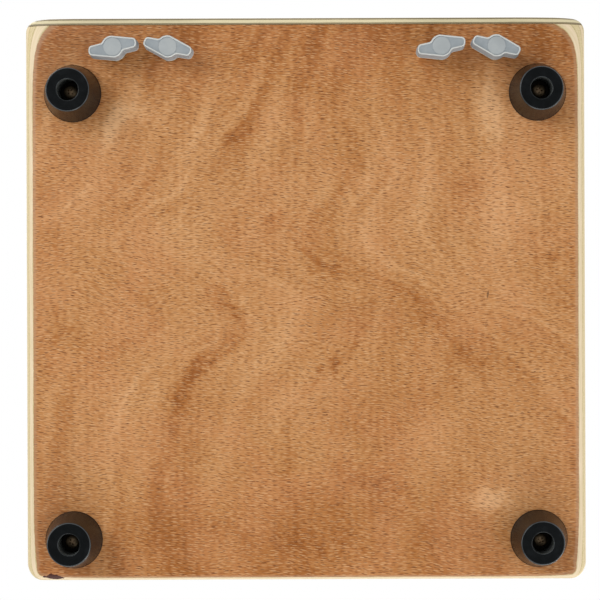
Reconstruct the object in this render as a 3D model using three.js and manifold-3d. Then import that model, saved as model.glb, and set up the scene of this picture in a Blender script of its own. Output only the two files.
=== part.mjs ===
// A string cajon: a box drum with a thin playing plate in front, a sound hole in the back,
// four rubber feet, and four guitar strings behind the plate that wing knobs under the box tighten.
// Millimetres, +Z up. The feet stand on z = 0 and the playing plate faces -Y.

import * as THREE from 'three';
import { mergeVertices } from 'three/addons/utils/BufferGeometryUtils.js';
import Module from 'manifold-3d';

const wasm = await Module();
wasm.setup();

// ---------------------------------------------------------------- driving dimensions

const WIDTH = 300;
const DEPTH = 300;
const HEIGHT = 500;
const FOOT_HEIGHT = 20;
const PANEL = 12; // side, top and bottom boards
const BACK_BOARD = 8;
const FRONT_PLATE = 3.2;
const GAP = 0.3; // glue line, and the least space between touching pieces

const CORNER_RADIUS = 6.5; // upright edges
const SIDE_EDGE_RADIUS = 7; // edges that run front to back
const BACK_EDGE_RADIUS = 4.5; // edges that run across the back
const EDGE_STEPS = 3;

const SOUND_HOLE = { radius: 59, z: 310, segments: 40 };

const FOOT = {
  x: 124, frontY: -110, backY: 128, baseRadius: 15.25, endRadius: 11.5, bevel: 0.8,
  recessRadius: 5.75, recessDepth: 14.8, boreRadius: 2.4, segments: 24,
};
const FOOT_WASHER = { radius: 5.4, bore: 2.4, thick: 1.1 };
const FOOT_SCREW = { headRadius: 3.6, headHeight: 2.2, shankRadius: 2, length: 20 };

const TUNER_X = [-101, -72, 72, 101];
const TUNER_Y = -133;
const KNOB_ANGLES = [2.2, 26, 2.9, 27.5]; // degrees, as left by the player
const KNOB = { bottom: 5, top: 16, bevel: 0.6, neckRadius: 5, socketRadius: 4.4, socketDepth: 6 };
const TENSION_SCREW = { radius: 2.5, headRadius: 4, headHeight: 3.4, top: 68 };
const BUSH = { flangeRadius: 6, flange: 1.2, sleeveRadius: 4, bore: 2.9, rise: 2 };
const CARRIAGE = { side: 9, bottom: 50, top: 86, bore: 2.9, boreTop: 76 };
const GUIDE = { side: 9.8, height: 40, depth: 20, overhang: 14 };

const STRING_RADIUS = 0.6;
const BAR = { side: 20, bottom: 425, frontGap: 2.2, holeRadius: 1.3, holeRise: 11 };
const BALL_RADIUS = 2.1;

const PLATE_SCREW = { headRadius: 3.4, headDepth: 2.1, shankRadius: 1.5, length: 20 };
const PLATE_SCREW_INSET = 8.5; // from the outer face of the board that it bites into
const SIDE_SCREW_Z = [44, 147, 260, 373, 476];
const CROSS_SCREW_X = 60;

// ---------------------------------------------------------------- finishes

const finish = (color, roughness, metalness = 0) =>
  new THREE.MeshStandardMaterial({ color, roughness, metalness });

const BEECH_PLY = finish(0xbb8050, 0.5);
const BIRCH_PLY = finish(0xdcc48f, 0.6);
const SOLID_BEECH = finish(0xc79a6b, 0.6);
const RUBBER = finish(0x181617, 0.75);
const GREY_NYLON = finish(0xa8b0b8, 0.5);
const ZINC = finish(0xb9bcc0, 0.35, 1);
const BRASS = finish(0xb08a4a, 0.35, 1);
const STRING_STEEL = finish(0xc8c9cc, 0.25, 1);

// ---------------------------------------------------------------- shape helpers

const cajon = new THREE.Group();
cajon.name = 'cajon';

/** Adds one named piece to the drum. */
function addPiece(name, geometry, material, x = 0, y = 0, z = 0, turnZ = 0) {
  const mesh = new THREE.Mesh(geometry, material);
  mesh.name = name;
  mesh.position.set(x, y, z);
  mesh.rotation.z = turnZ;
  cajon.add(mesh);
  return mesh;
}

/** The closed solid that a geometry bounds. */
function solidOf(geometry) {
  const bare = geometry.clone();
  bare.deleteAttribute('normal');
  bare.deleteAttribute('uv');
  const merged = mergeVertices(bare, 1e-4);
  const mesh = new wasm.Mesh({
    numProp: 3,
    vertProperties: new Float32Array(merged.attributes.position.array),
    triVerts: new Uint32Array(merged.index.array),
  });
  return new wasm.Manifold(mesh);
}

/** The geometry of a solid's surface. */
function surfaceOf(solid) {
  const { vertProperties, triVerts } = solid.getMesh();
  const geometry = new THREE.BufferGeometry();
  geometry.setAttribute('position', new THREE.BufferAttribute(new Float32Array(vertProperties), 3));
  geometry.setIndex(new THREE.BufferAttribute(new Uint32Array(triVerts), 1));
  return geometry;
}

/** A geometry with others cut out of it. */
function cut(geometry, tools) {
  return surfaceOf(tools.reduce((left, tool) => left.subtract(solidOf(tool)), solidOf(geometry)));
}

/** Geometries that overlap, made into one body. */
function join(geometries) {
  return surfaceOf(geometries.map(solidOf).reduce((whole, next) => whole.add(next)));
}

/** An upright rod between two heights. */
function rod(radius, bottom, top, segments = 16) {
  return new THREE.CylinderGeometry(radius, radius, top - bottom, segments)
    .rotateX(Math.PI / 2)
    .translate(0, 0, (top + bottom) / 2);
}

/** A rod that lies along Y between two depths. */
function rodAlongY(radius, near, far, segments) {
  return new THREE.CylinderGeometry(radius, radius, far - near, segments)
    .translate(0, (near + far) / 2, 0);
}

/** A body turned about Y from [radius, y] points, front to back on its outside. */
function turnedAlongY(profile, segments) {
  return new THREE.LatheGeometry(profile.map(([r, y]) => new THREE.Vector2(r, y)), segments);
}

/** A plain box from its lowest and highest corners. */
function block(low, high) {
  const size = high.map((value, axis) => value - low[axis]);
  return new THREE.BoxGeometry(...size)
    .translate(...low.map((value, axis) => value + size[axis] / 2));
}

/** A body turned about Z from [radius, z] points, bottom to top on its outside. */
function turned(profile, segments) {
  return new THREE.LatheGeometry(profile.map(([r, z]) => new THREE.Vector2(r, z)), segments)
    .rotateX(Math.PI / 2);
}

/** Cut positions along one side of the drum, close together within `ease` of each end. */
function stops([low, high], ease) {
  const steps = Array.from({ length: EDGE_STEPS + 1 }, (_, i) => (ease * i) / EDGE_STEPS);
  return [...steps.map((step) => low + step), ...steps.map((step) => high - step).reverse()];
}

/** Draws a point in onto a rounded edge between two axes, if it lies outside that edge. */
function roundEdge(point, a, b, radius, limits) {
  const inner = (axis) =>
    THREE.MathUtils.clamp(point[axis], limits[axis][0] + radius, limits[axis][1] - radius);
  const [centreA, centreB] = [inner(a), inner(b)];
  const [offA, offB] = [point[a] - centreA, point[b] - centreB];
  const reach = Math.hypot(offA, offB);
  if (reach <= radius) return;
  point[a] = centreA + (offA * radius) / reach;
  point[b] = centreB + (offB * radius) / reach;
}

/** The drum's outer block with its rounded edges. The edges across the front stay square. */
function outerBlock() {
  const limits = {
    x: [-WIDTH / 2, WIDTH / 2],
    y: [-DEPTH / 2, DEPTH / 2],
    z: [FOOT_HEIGHT, HEIGHT],
  };
  const limitsWithoutFront = { ...limits, y: [-DEPTH, DEPTH / 2] };
  const sides = [
    stops(limits.x, SIDE_EDGE_RADIUS),
    stops(limits.y, CORNER_RADIUS),
    stops(limits.z, SIDE_EDGE_RADIUS),
  ];
  const geometry = new THREE.BoxGeometry(1, 1, 1, ...sides.map((side) => side.length - 1));
  const position = geometry.attributes.position;
  const point = new THREE.Vector3();
  for (let i = 0; i < position.count; i += 1) {
    point.fromBufferAttribute(position, i);
    point.fromArray(point.toArray().map((unit, axis) => {
      const cuts = sides[axis];
      return cuts[Math.round((unit + 0.5) * (cuts.length - 1))];
    }));
    roundEdge(point, 'x', 'y', CORNER_RADIUS, limits);
    roundEdge(point, 'x', 'z', SIDE_EDGE_RADIUS, limits);
    roundEdge(point, 'y', 'z', BACK_EDGE_RADIUS, limitsWithoutFront);
    position.setXYZ(i, point.x, point.y, point.z);
  }
  return geometry;
}

const OUTER_SOLID = solidOf(outerBlock());

/** A board sawn from the drum's outer block. Corners past the block's faces keep those faces as they are. */
function board(low, high) {
  return surfaceOf(OUTER_SOLID.intersect(solidOf(block(low, high))));
}

// ---------------------------------------------------------------- places worked out from the sizes

const half = WIDTH / 2;
const front = -DEPTH / 2;
const back = DEPTH / 2;
const plateBack = front + FRONT_PLATE;
const boardFront = plateBack + GAP;
const floor = FOOT_HEIGHT + PANEL; // inner face of the bottom board
const ceiling = HEIGHT - PANEL;
const innerHalf = half - PANEL;

const feet = [
  ['front_left', -FOOT.x, FOOT.frontY],
  ['front_right', FOOT.x, FOOT.frontY],
  ['back_left', -FOOT.x, FOOT.backY],
  ['back_right', FOOT.x, FOOT.backY],
];
const tuners = TUNER_X.map((x, i) => ({ x, number: i + 1, angle: THREE.MathUtils.degToRad(KNOB_ANGLES[i]) }));

const screwInset = half - PLATE_SCREW_INSET;
const plateScrews = [
  ...SIDE_SCREW_Z.flatMap((z, i) => [
    [`plate_screw_left_${i + 1}`, -screwInset, z],
    [`plate_screw_right_${i + 1}`, screwInset, z],
  ]),
  ...[['left', -CROSS_SCREW_X], ['right', CROSS_SCREW_X]].flatMap(([side, x]) => [
    [`plate_screw_bottom_${side}`, x, FOOT_HEIGHT + PLATE_SCREW_INSET],
    [`plate_screw_top_${side}`, x, HEIGHT - PLATE_SCREW_INSET],
  ]),
];

// ---------------------------------------------------------------- the wooden box

/** Holes that the plate screws bite into, grown by the gap. */
function screwPilots(wanted) {
  return plateScrews.filter(([, x, z]) => wanted(x, z)).map(([, x, z]) =>
    rodAlongY(PLATE_SCREW.shankRadius + GAP, front - 1, front + PLATE_SCREW.length + 1, 8)
      .translate(x, 0, z));
}

/** Countersunk holes for the plate screws, each grown by the gap and open past both faces of the plate. */
function screwCountersinks() {
  const { headRadius, headDepth, shankRadius } = PLATE_SCREW;
  const slope = (headRadius - shankRadius) / headDepth;
  return plateScrews.map(([, x, z]) => turnedAlongY([
    [0, front - 1],
    [headRadius + GAP + slope, front - 1],
    [shankRadius + GAP, front + headDepth],
    [shankRadius + GAP, plateBack + 1],
    [0, plateBack + 1],
  ], 10).translate(x, 0, z));
}

const footScrewHoles = feet.map(([, x, y]) =>
  rod(FOOT_SCREW.shankRadius + GAP, FOOT_HEIGHT - 1, floor - 1, 12).translate(x, y, 0));
const bushHoles = tuners.map(({ x }) =>
  rod(BUSH.sleeveRadius + GAP, FOOT_HEIGHT - 1, floor + 1, 16).translate(x, TUNER_Y, 0));

addPiece('bottom_panel', cut(
  board([-WIDTH, boardFront, 0], [WIDTH, DEPTH, floor]),
  [...footScrewHoles, ...bushHoles, ...screwPilots((x, z) => z < floor)],
), BEECH_PLY);

addPiece('top_panel', cut(
  board([-WIDTH, boardFront, ceiling], [WIDTH, DEPTH, HEIGHT + PANEL]),
  screwPilots((x, z) => z > ceiling),
), BEECH_PLY);

const onSide = (z) => z > floor && z < ceiling;
addPiece('side_panel_left', cut(
  board([-WIDTH, boardFront, floor + GAP], [-innerHalf, DEPTH, ceiling - GAP]),
  screwPilots((x, z) => x < 0 && onSide(z)),
), BEECH_PLY);
addPiece('side_panel_right', cut(
  board([innerHalf, boardFront, floor + GAP], [WIDTH, DEPTH, ceiling - GAP]),
  screwPilots((x, z) => x > 0 && onSide(z)),
), BEECH_PLY);

addPiece('back_panel', cut(
  block(
    [-innerHalf + GAP, back - BACK_BOARD, floor + GAP],
    [innerHalf - GAP, back, ceiling - GAP],
  ),
  [rodAlongY(SOUND_HOLE.radius, back - BACK_BOARD - 1, back + 1, SOUND_HOLE.segments)
    .translate(0, 0, SOUND_HOLE.z)],
), BEECH_PLY);

addPiece('front_plate', cut(
  board([-WIDTH, -DEPTH, 0], [WIDTH, plateBack, HEIGHT + PANEL]),
  screwCountersinks(),
), BIRCH_PLY);

/** A countersunk screw that lies along +Y, with its head just under the face of the plate. */
function plateScrew() {
  const { headRadius, headDepth, shankRadius, length } = PLATE_SCREW;
  const face = front + GAP;
  return turnedAlongY([
    [0, face],
    [headRadius, face],
    [shankRadius, face + headDepth],
    [shankRadius, front + length - 3],
    [0, front + length],
  ], 10);
}
plateScrews.forEach(([name, x, z]) => addPiece(name, plateScrew(), ZINC, x, 0, z));

// ---------------------------------------------------------------- feet

/** A tapered rubber foot with a screw recess that opens at its end face. */
function foot() {
  const { baseRadius, endRadius, bevel, recessRadius, recessDepth, boreRadius, segments } = FOOT;
  const top = FOOT_HEIGHT - GAP;
  return turned([
    [recessRadius, 0],
    [endRadius - bevel, 0],
    [endRadius, bevel],
    [baseRadius, top],
    [boreRadius, top],
    [boreRadius, recessDepth],
    [recessRadius, recessDepth],
    [recessRadius, 0],
  ], segments);
}

/** A flat washer under the screw head, against the floor of the recess. */
function footWasher() {
  const { radius, bore, thick } = FOOT_WASHER;
  const top = FOOT.recessDepth - GAP;
  return turned([[bore, top - thick], [radius, top - thick], [radius, top], [bore, top], [bore, top - thick]], 16);
}

/** A pan-head screw that holds the foot and runs up into the bottom board. */
function footScrew() {
  const { headRadius, headHeight, shankRadius, length } = FOOT_SCREW;
  const headTop = FOOT.recessDepth - FOOT_WASHER.thick - 2 * GAP;
  return turned([
    [0, headTop - headHeight],
    [headRadius * 0.7, headTop - headHeight],
    [headRadius, headTop - headHeight * 0.6],
    [headRadius, headTop],
    [shankRadius, headTop],
    [shankRadius, headTop + length - 6],
    [0, headTop + length - 3],
  ], 12);
}

feet.forEach(([corner, x, y]) => {
  addPiece(`foot_${corner}`, foot(), RUBBER, x, y);
  addPiece(`foot_washer_${corner}`, footWasher(), ZINC, x, y);
  addPiece(`foot_screw_${corner}`, footScrew(), BRASS, x, y);
});

// ---------------------------------------------------------------- string tuners

/** One wing of the knob, from the hub's front to its back, seen along +Z. The other is its half turn. */
function drawWing(shape, side) {
  const at = (x, y) => [side * x, side * y];
  shape.lineTo(...at(9.9, -5.2));
  shape.quadraticCurveTo(...at(12.2, -5.0), ...at(12.6, -2.6));
  shape.quadraticCurveTo(...at(13, -0.4), ...at(11, 0.2));
  shape.lineTo(...at(7.2, 1.4));
  shape.quadraticCurveTo(...at(6, 1.8), ...at(5.6, 2.7));
  shape.quadraticCurveTo(...at(4.4, 5.3), ...at(1.3, 6.1));
}

/** The wing knob: a flat two-wing grip with a neck that bears on the bush, and a socket for the screw. */
function wingKnob() {
  const outline = new THREE.Shape();
  outline.moveTo(-1.3, -6.1);
  drawWing(outline, 1);
  drawWing(outline, -1);
  const { bevel } = KNOB;
  const grip = new THREE.ExtrudeGeometry(outline, {
    depth: KNOB.top - KNOB.bottom - 2 * bevel,
    curveSegments: 4,
    bevelSegments: 1,
    bevelThickness: bevel,
    bevelSize: bevel,
    bevelOffset: -bevel,
  }).translate(0, 0, KNOB.bottom + bevel);
  const neckTop = FOOT_HEIGHT - BUSH.flange - 2 * GAP;
  const neck = rod(KNOB.neckRadius, KNOB.top - 1, neckTop, 20);
  const socket = rod(KNOB.socketRadius, neckTop - KNOB.socketDepth, neckTop + 1, 20);
  return cut(join([grip, neck]), [socket]);
}

/** The tension screw: a disc head held in the knob, and a shank that reaches up into the carriage. */
function tensionScrew() {
  const { radius, headRadius, headHeight, top } = TENSION_SCREW;
  const bottom = FOOT_HEIGHT - BUSH.flange - 2 * GAP - KNOB.socketDepth + GAP;
  return join([rod(headRadius, bottom, bottom + headHeight, 20), rod(radius, bottom + 1, top, 16)]);
}

/** The flanged bush that the screw turns in, pressed into the bottom board from below. */
function screwBush() {
  const { flangeRadius, flange, sleeveRadius, bore, rise } = BUSH;
  const bottom = FOOT_HEIGHT - GAP - flange;
  const top = floor + rise;
  return turned([
    [bore, bottom],
    [flangeRadius, bottom],
    [flangeRadius, bottom + flange],
    [sleeveRadius, bottom + flange],
    [sleeveRadius, top],
    [bore, top],
    [bore, bottom],
  ], 16);
}

/** The square brass nut that the screw draws down its guide, with the string hooked to its top. */
function stringCarriage() {
  const { side, bottom, top, bore, boreTop } = CARRIAGE;
  return cut(
    block([-side / 2, -side / 2, bottom], [side / 2, side / 2, top]),
    [rod(bore, bottom - 1, boreTop, 16)],
  );
}

const barFront = plateBack + BAR.frontGap;
const barBack = barFront + BAR.side;
const barHole = BAR.bottom + BAR.holeRise;
const stringFront = barFront - BAR.frontGap / 2;

/** A string of which x is zero: slanting up from its carriage, up the bar's front and back through its hole. */
function guitarString() {
  const start = new THREE.Vector3(0, TUNER_Y, CARRIAGE.top + GAP);
  const lip = new THREE.Vector3(0, stringFront, BAR.bottom);
  const run = lip.clone().sub(start);
  const slant = new THREE.CylinderGeometry(STRING_RADIUS, STRING_RADIUS, run.length(), 6)
    .applyQuaternion(new THREE.Quaternion().setFromUnitVectors(
      new THREE.Vector3(0, 1, 0), run.clone().normalize(),
    ))
    .translate(...start.clone().add(lip).multiplyScalar(0.5).toArray());
  const bend = barFront - stringFront;
  const route = new THREE.CurvePath();
  const turnStart = new THREE.Vector3(0, stringFront, barHole - bend);
  const turnEnd = new THREE.Vector3(0, barFront, barHole);
  route.add(new THREE.LineCurve3(lip.clone().setZ(BAR.bottom - 2), turnStart));
  route.add(new THREE.QuadraticBezierCurve3(turnStart, new THREE.Vector3(0, stringFront, barHole), turnEnd));
  route.add(new THREE.LineCurve3(turnEnd, new THREE.Vector3(0, barBack, barHole)));
  const section = new THREE.Shape().absarc(0, 0, STRING_RADIUS, 0, 2 * Math.PI);
  const hook = new THREE.ExtrudeGeometry(section, {
    steps: 16, curveSegments: 3, extrudePath: route,
  });
  return join([slant, hook]);
}

/** A block of hard beech with two square channels that keep the carriages from turning. */
function carriageGuide(firstX, secondX) {
  const bottom = floor + GAP;
  const reach = GUIDE.side / 2;
  const body = block(
    [firstX - GUIDE.overhang, TUNER_Y - GUIDE.depth / 2, bottom],
    [secondX + GUIDE.overhang, TUNER_Y + GUIDE.depth / 2, bottom + GUIDE.height],
  );
  return cut(body, [firstX, secondX].map((x) => block(
    [x - reach, TUNER_Y - reach, bottom - 1],
    [x + reach, TUNER_Y + reach, bottom + GUIDE.height + 1],
  )));
}

addPiece('carriage_guide_left', carriageGuide(TUNER_X[0], TUNER_X[1]), SOLID_BEECH);
addPiece('carriage_guide_right', carriageGuide(TUNER_X[2], TUNER_X[3]), SOLID_BEECH);

addPiece('string_bar', cut(
  block(
    [-innerHalf + GAP, barFront, BAR.bottom],
    [innerHalf - GAP, barBack, BAR.bottom + BAR.side],
  ),
  tuners.map(({ x }) => rodAlongY(BAR.holeRadius, barFront - 1, barBack + 1, 10).translate(x, 0, barHole)),
), SOLID_BEECH);

tuners.forEach(({ x, number, angle }) => {
  addPiece(`wing_knob_${number}`, wingKnob(), GREY_NYLON, x, TUNER_Y, 0, angle);
  addPiece(`tension_screw_${number}`, tensionScrew(), ZINC, x, TUNER_Y);
  addPiece(`screw_bush_${number}`, screwBush(), BRASS, x, TUNER_Y);
  addPiece(`string_carriage_${number}`, stringCarriage(), BRASS, x, TUNER_Y);
  addPiece(`string_${number}`, guitarString(), STRING_STEEL, x);
  addPiece(
    `string_ball_${number}`, new THREE.SphereGeometry(BALL_RADIUS, 10, 8), BRASS,
    x, barBack + BALL_RADIUS + GAP, barHole,
  );
});

export default cajon;
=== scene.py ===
"""A string cajon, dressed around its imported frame: a beech plywood box drum on four rubber feet, with wing
knobs underneath that tighten the strings behind its playing plate.

Sizes are in millimetres in the frame's own axes: +Z up, the playing plate faces -Y, the feet stand on z = 0.
"""

from __future__ import annotations

import logging
import math
from collections.abc import Sequence
from dataclasses import dataclass, field
from enum import Enum

import bmesh
import bpy
from mathutils import Matrix, Vector


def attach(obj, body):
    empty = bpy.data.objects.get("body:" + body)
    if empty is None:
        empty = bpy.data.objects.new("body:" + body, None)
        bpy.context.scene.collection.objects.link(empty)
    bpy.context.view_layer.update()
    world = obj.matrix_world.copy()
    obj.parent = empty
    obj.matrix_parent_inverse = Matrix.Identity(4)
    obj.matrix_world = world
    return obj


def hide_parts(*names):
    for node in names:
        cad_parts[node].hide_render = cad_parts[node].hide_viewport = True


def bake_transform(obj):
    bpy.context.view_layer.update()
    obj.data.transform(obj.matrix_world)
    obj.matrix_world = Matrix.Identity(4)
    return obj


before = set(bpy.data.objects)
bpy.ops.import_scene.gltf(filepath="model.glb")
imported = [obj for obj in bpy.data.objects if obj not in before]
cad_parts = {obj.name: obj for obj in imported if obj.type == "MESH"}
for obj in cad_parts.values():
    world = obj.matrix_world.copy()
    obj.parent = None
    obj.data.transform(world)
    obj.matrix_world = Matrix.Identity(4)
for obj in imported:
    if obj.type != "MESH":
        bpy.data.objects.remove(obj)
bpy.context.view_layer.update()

MM = 0.001
SHELL = "shell"
LOG = logging.getLogger("cajon")

Point = tuple[float, float, float]
Profile = list[tuple[float, float]]


# -------------------------------------------------------------------------------------- node sheets


def linear(code: str) -> tuple[float, float, float, float]:
    """Turns an sRGB hex colour into linear light.

    Args:
        code: Six hex digits.

    Returns:
        Red, green, blue and an alpha of one.
    """
    parts = [int(code[i : i + 2], 16) / 255 for i in (0, 2, 4)]
    red, green, blue = (c / 12.92 if c <= 0.04045 else ((c + 0.055) / 1.055) ** 2.4 for c in parts)
    return red, green, blue, 1.0


class Sheet:
    """The node sheet of one material or of the world."""

    def __init__(self, tree: bpy.types.NodeTree) -> None:
        """Starts with an empty sheet."""
        self.tree = tree
        tree.nodes.clear()

    def add(
        self,
        kind: str,
        inputs: dict[str | int, object] | None = None,
        out: str | int = 0,
        stops: Sequence[tuple[float, object]] = (),
        **settings: object,
    ) -> bpy.types.NodeSocket | None:
        """Adds one node.

        Args:
            kind: The node's type without its ShaderNode prefix.
            inputs: A value or another node's output for each named or numbered input.
            out: The output that is wanted.
            stops: Places and hex colours of a colour ramp, or the points of a float curve.
            settings: The node's own settings.

        Returns:
            The wanted output, or None for a node without any.
        """
        node = self.tree.nodes.new("ShaderNode" + kind)
        for name, value in settings.items():
            setattr(node, name, value)
        for key, value in (inputs or {}).items():
            if isinstance(value, bpy.types.NodeSocket):
                self.tree.links.new(value, node.inputs[key])
            else:
                node.inputs[key].default_value = value
        if stops and kind == "ValToRGB":
            marks = node.color_ramp.elements
            while len(marks) < len(stops):
                marks.new(1.0)
            for mark, (place, code) in zip(marks, stops):
                mark.position = place
                mark.color = linear(str(code))
        elif stops:
            points = node.mapping.curves[0].points
            while len(points) < len(stops):
                points.new(0.5, 0.5)
            for point, place in zip(points, sorted(stops)):
                point.location = place
                point.handle_type = "AUTO_CLAMPED"
            node.mapping.update()
        return node.outputs[out] if len(node.outputs) else None


class Finish:
    """A surface that dresses pieces with one material."""

    title: str

    def draw(self, sheet: Sheet) -> dict[str | int, object]:
        """Draws the pattern on the sheet, and gives the values and links of the shader's inputs."""
        raise NotImplementedError

    def material(self) -> bpy.types.Material:
        """Builds the material once, and gives it again after that.

        Returns:
            The material.
        """
        found = bpy.data.materials.get(self.title)
        if found is not None:
            return found
        made = bpy.data.materials.new(self.title)
        made.use_nodes = True
        sheet = Sheet(made.node_tree)
        surface = sheet.add("BsdfPrincipled", self.draw(sheet))
        sheet.add("OutputMaterial", {"Surface": surface})
        return made


# --------------------------------------------------------------------------------------------- wood


class Axis(Enum):
    """An axis of the frame, by its place in a vector."""

    X = 0
    Y = 1
    Z = 2


@dataclass(frozen=True)
class Patch:
    """A place on a face where the wood is darker, lighter or marked, or where shade or a highlight is
    painted on it.

    x and y are its centre along and across the fibres, and turn is in degrees.
    """

    x: float
    y: float
    half_length: float
    half_width: float
    turn: float = 0.0
    strength: float = 1.0


@dataclass(frozen=True)
class Lay:
    """How a board lies in the box: its fibres' axis, the axis across them, and where its outer face is."""

    along: Axis
    across: Axis
    through: Axis
    face: float
    inward: int
    seed: float


@dataclass(frozen=True)
class RingLine:
    """One growth ring on a face: its number, its darkness, and places (across, along) on it in mm."""

    number: float
    ink: float
    course: tuple[tuple[float, float], ...]


@dataclass(frozen=True)
class RingFigure:
    """How the growth rings run over a peeled veneer: a few of them by their courses, in rising order.

    Across and along are half the face's width and the furthest place of a course, in mm.
    """

    lines: tuple[RingLine, ...]
    across: float = 155.0
    along: float = 400.0
    # How strongly the bands between the rings show.
    depth: float = 1.0
    # The rings' spacing beyond the outermost courses, and how far a ring's darkness reaches, in mm.
    outer_pitch: float = 14.0
    line_width: float = 5.5


@dataclass(frozen=True)
class Flecks:
    """One scatter of ray flecks: their grid in mm, their half size, a shift, and how many are strong."""

    pitch: tuple[float, float]
    half: tuple[float, float]
    shift: float
    share: float


@dataclass(frozen=True)
class BeechPlywood(Finish):
    """Beech veneered plywood, peeled, pressed, sanded round at its edges and lacquered satin.

    The eye gets a warm tan face with short dark ray flecks along the fibres and faint bands that follow the
    rings, a dusty pink margin where the sanding thins the veneer, and cream layers where it cuts through.
    """

    title: str
    lay: Lay
    plies: int
    thick: float
    figure: RingFigure
    veneer: float = 0.5
    tones: tuple[str, ...] = ("93541a", "a96a31", "ba8049", "c8915c", "dba977")
    base_tone: float = 0.5
    rosy: str = "cc8b5a"
    fleck: str = "63340c"
    pale_fleck: str = "ddb182"
    margin: str = "ae855f"
    margin_share: float = 0.5
    pale_ply: str = "ecd7b6"
    end_ply: str = "d0bf8a"
    glue: str = "b19e64"
    burnt: str = "43180b"
    scar: str = "6b4a2c"
    dark_flecks: tuple[Flecks, ...] = (
        Flecks((3.7, 1.15), (1.25, 0.17), 0.0, 0.85),
        Flecks((6.6, 1.9), (1.6, 0.20), 0.45, 0.7),
    )
    light_flecks: tuple[Flecks, ...] = (Flecks((4.0, 1.25), (1.7, 0.28), 0.6, 0.8),)
    fleck_depth: float = 1.0
    fleck_tilt: float = 0.07
    mottles: tuple[Patch, ...] = ()
    # Darker patches: the wood's own tone, and painted shade where the light falls off towards a face's
    # edges.
    dark_tone_and_shade: tuple[Patch, ...] = ()
    # Lighter patches: pale wood figure, and painted sheen highlights where the lacquer catches the light.
    pale_figure_and_sheen: tuple[Patch, ...] = ()
    scars: tuple[Patch, ...] = ()
    edge_marks: tuple[Patch, ...] = ()

    def draw(self, sheet: Sheet) -> dict[str | int, object]:
        """Draws the face veneer, and the layers under it by their depth.

        Args:
            sheet: The material's sheet.

        Returns:
            The values and links of the shader's inputs.
        """
        place = sheet.add("TexCoord", out="Object")
        scaled = sheet.add("VectorMath", {0: place, "Scale": 1 / MM}, operation="SCALE")
        split = sheet.add("SeparateXYZ", {0: scaled}).node.outputs
        along = split[self.lay.along.value]
        across = split[self.lay.across.value]
        level = split[self.lay.through.value]
        depth = sheet.add(
            "Math",
            {0: level, 1: float(self.lay.inward), 2: -self.lay.face * self.lay.inward},
            operation="MULTIPLY_ADD",
        )
        plane = sheet.add("CombineXYZ", {0: along, 1: across, 2: self.lay.seed})
        face, height = self.face_veneer(sheet, plane)
        layers = self.ply_edges(sheet, along, across, depth)
        # The sanding cuts through the veneer along a ragged line, with waves some 3 mm long.
        ragged = sheet.add(
            "TexNoise", {"Vector": scaled, "Scale": 0.35, "Detail": 3.0}, noise_dimensions="3D"
        )
        reach = 0.24 * self.veneer
        sanded = sheet.add(
            "Math", {0: ragged, 1: 2 * reach, 2: self.veneer - reach}, operation="MULTIPLY_ADD"
        )
        from_face = sheet.add("Math", {0: depth, 1: self.thick / 2}, operation="SUBTRACT")
        centred = sheet.add("Math", {0: from_face}, operation="ABSOLUTE")
        shallow = sheet.add("Math", {0: self.thick / 2, 1: centred}, operation="SUBTRACT")
        over = sheet.add("Math", {0: shallow, 1: sanded}, operation="SUBTRACT")
        cut_through = sheet.add(
            "MapRange", {0: over, 1: -0.04, 2: 0.04}, interpolation_type="SMOOTHSTEP"
        )
        thinned = sheet.add(
            "MapRange",
            {0: shallow, 1: 0.02, 2: 0.16, 3: 0.0, 4: self.margin_share},
            interpolation_type="SMOOTHSTEP",
        )
        face = sheet.add("Mix", {0: thinned, 6: face, 7: linear(self.margin)}, out=2, data_type="RGBA")
        colour = sheet.add("Mix", {0: cut_through, 6: face, 7: layers}, out=2, data_type="RGBA")
        for mark in self.edge_marks:
            # Resin that the sander burnt into the glue line, a ragged dark crescent beside the face.
            near = self.patch(sheet, plane, mark, 0.9)
            frayed = sheet.add("MapRange", {0: ragged, 1: 0.3, 2: 0.7, 3: -0.5, 4: 0.0})
            width = sheet.add("Math", {0: near, 1: 0.8, 2: frayed}, operation="MULTIPLY_ADD")
            burnt = sheet.add("Math", {0: shallow, 1: 0.75, 2: width}, operation="COMPARE")
            colour = sheet.add(
                "Mix", {0: burnt, 6: colour, 7: linear(self.burnt)}, out=2, data_type="RGBA"
            )
        roughness = sheet.add("MapRange", {0: cut_through, 3: 0.46, 4: 0.62})
        relief = sheet.add("Bump", {"Height": height, "Strength": 0.4, "Distance": 0.12 * MM})
        return {
            "Base Color": colour,
            "Roughness": roughness,
            "Normal": relief,
            "IOR": 1.5,
            "Specular IOR Level": 0.4,
            "Coat Weight": 0.12,
            "Coat Roughness": 0.32,
        }

    def patch(
        self, sheet: Sheet, plane: bpy.types.NodeSocket, patch: Patch, softness: float
    ) -> bpy.types.NodeSocket:
        """Draws a patch's mask.

        Args:
            sheet: The sheet to draw on.
            plane: The place on the face in mm.
            patch: The patch.
            softness: The share of its reach over which it fades.

        Returns:
            Its strength at each place.
        """
        local = sheet.add(
            "Mapping",
            {
                0: plane,
                1: (patch.x, patch.y, self.lay.seed),
                2: (0.0, 0.0, math.radians(patch.turn)),
                3: (patch.half_length, patch.half_width, 1.0),
            },
            vector_type="TEXTURE",
        )
        reach = sheet.add("VectorMath", {0: local}, out="Value", operation="LENGTH")
        return sheet.add(
            "MapRange",
            {0: reach, 1: 1.0, 2: 1.0 - softness, 3: 0.0, 4: patch.strength},
            interpolation_type="SMOOTHERSTEP",
        )

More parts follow.
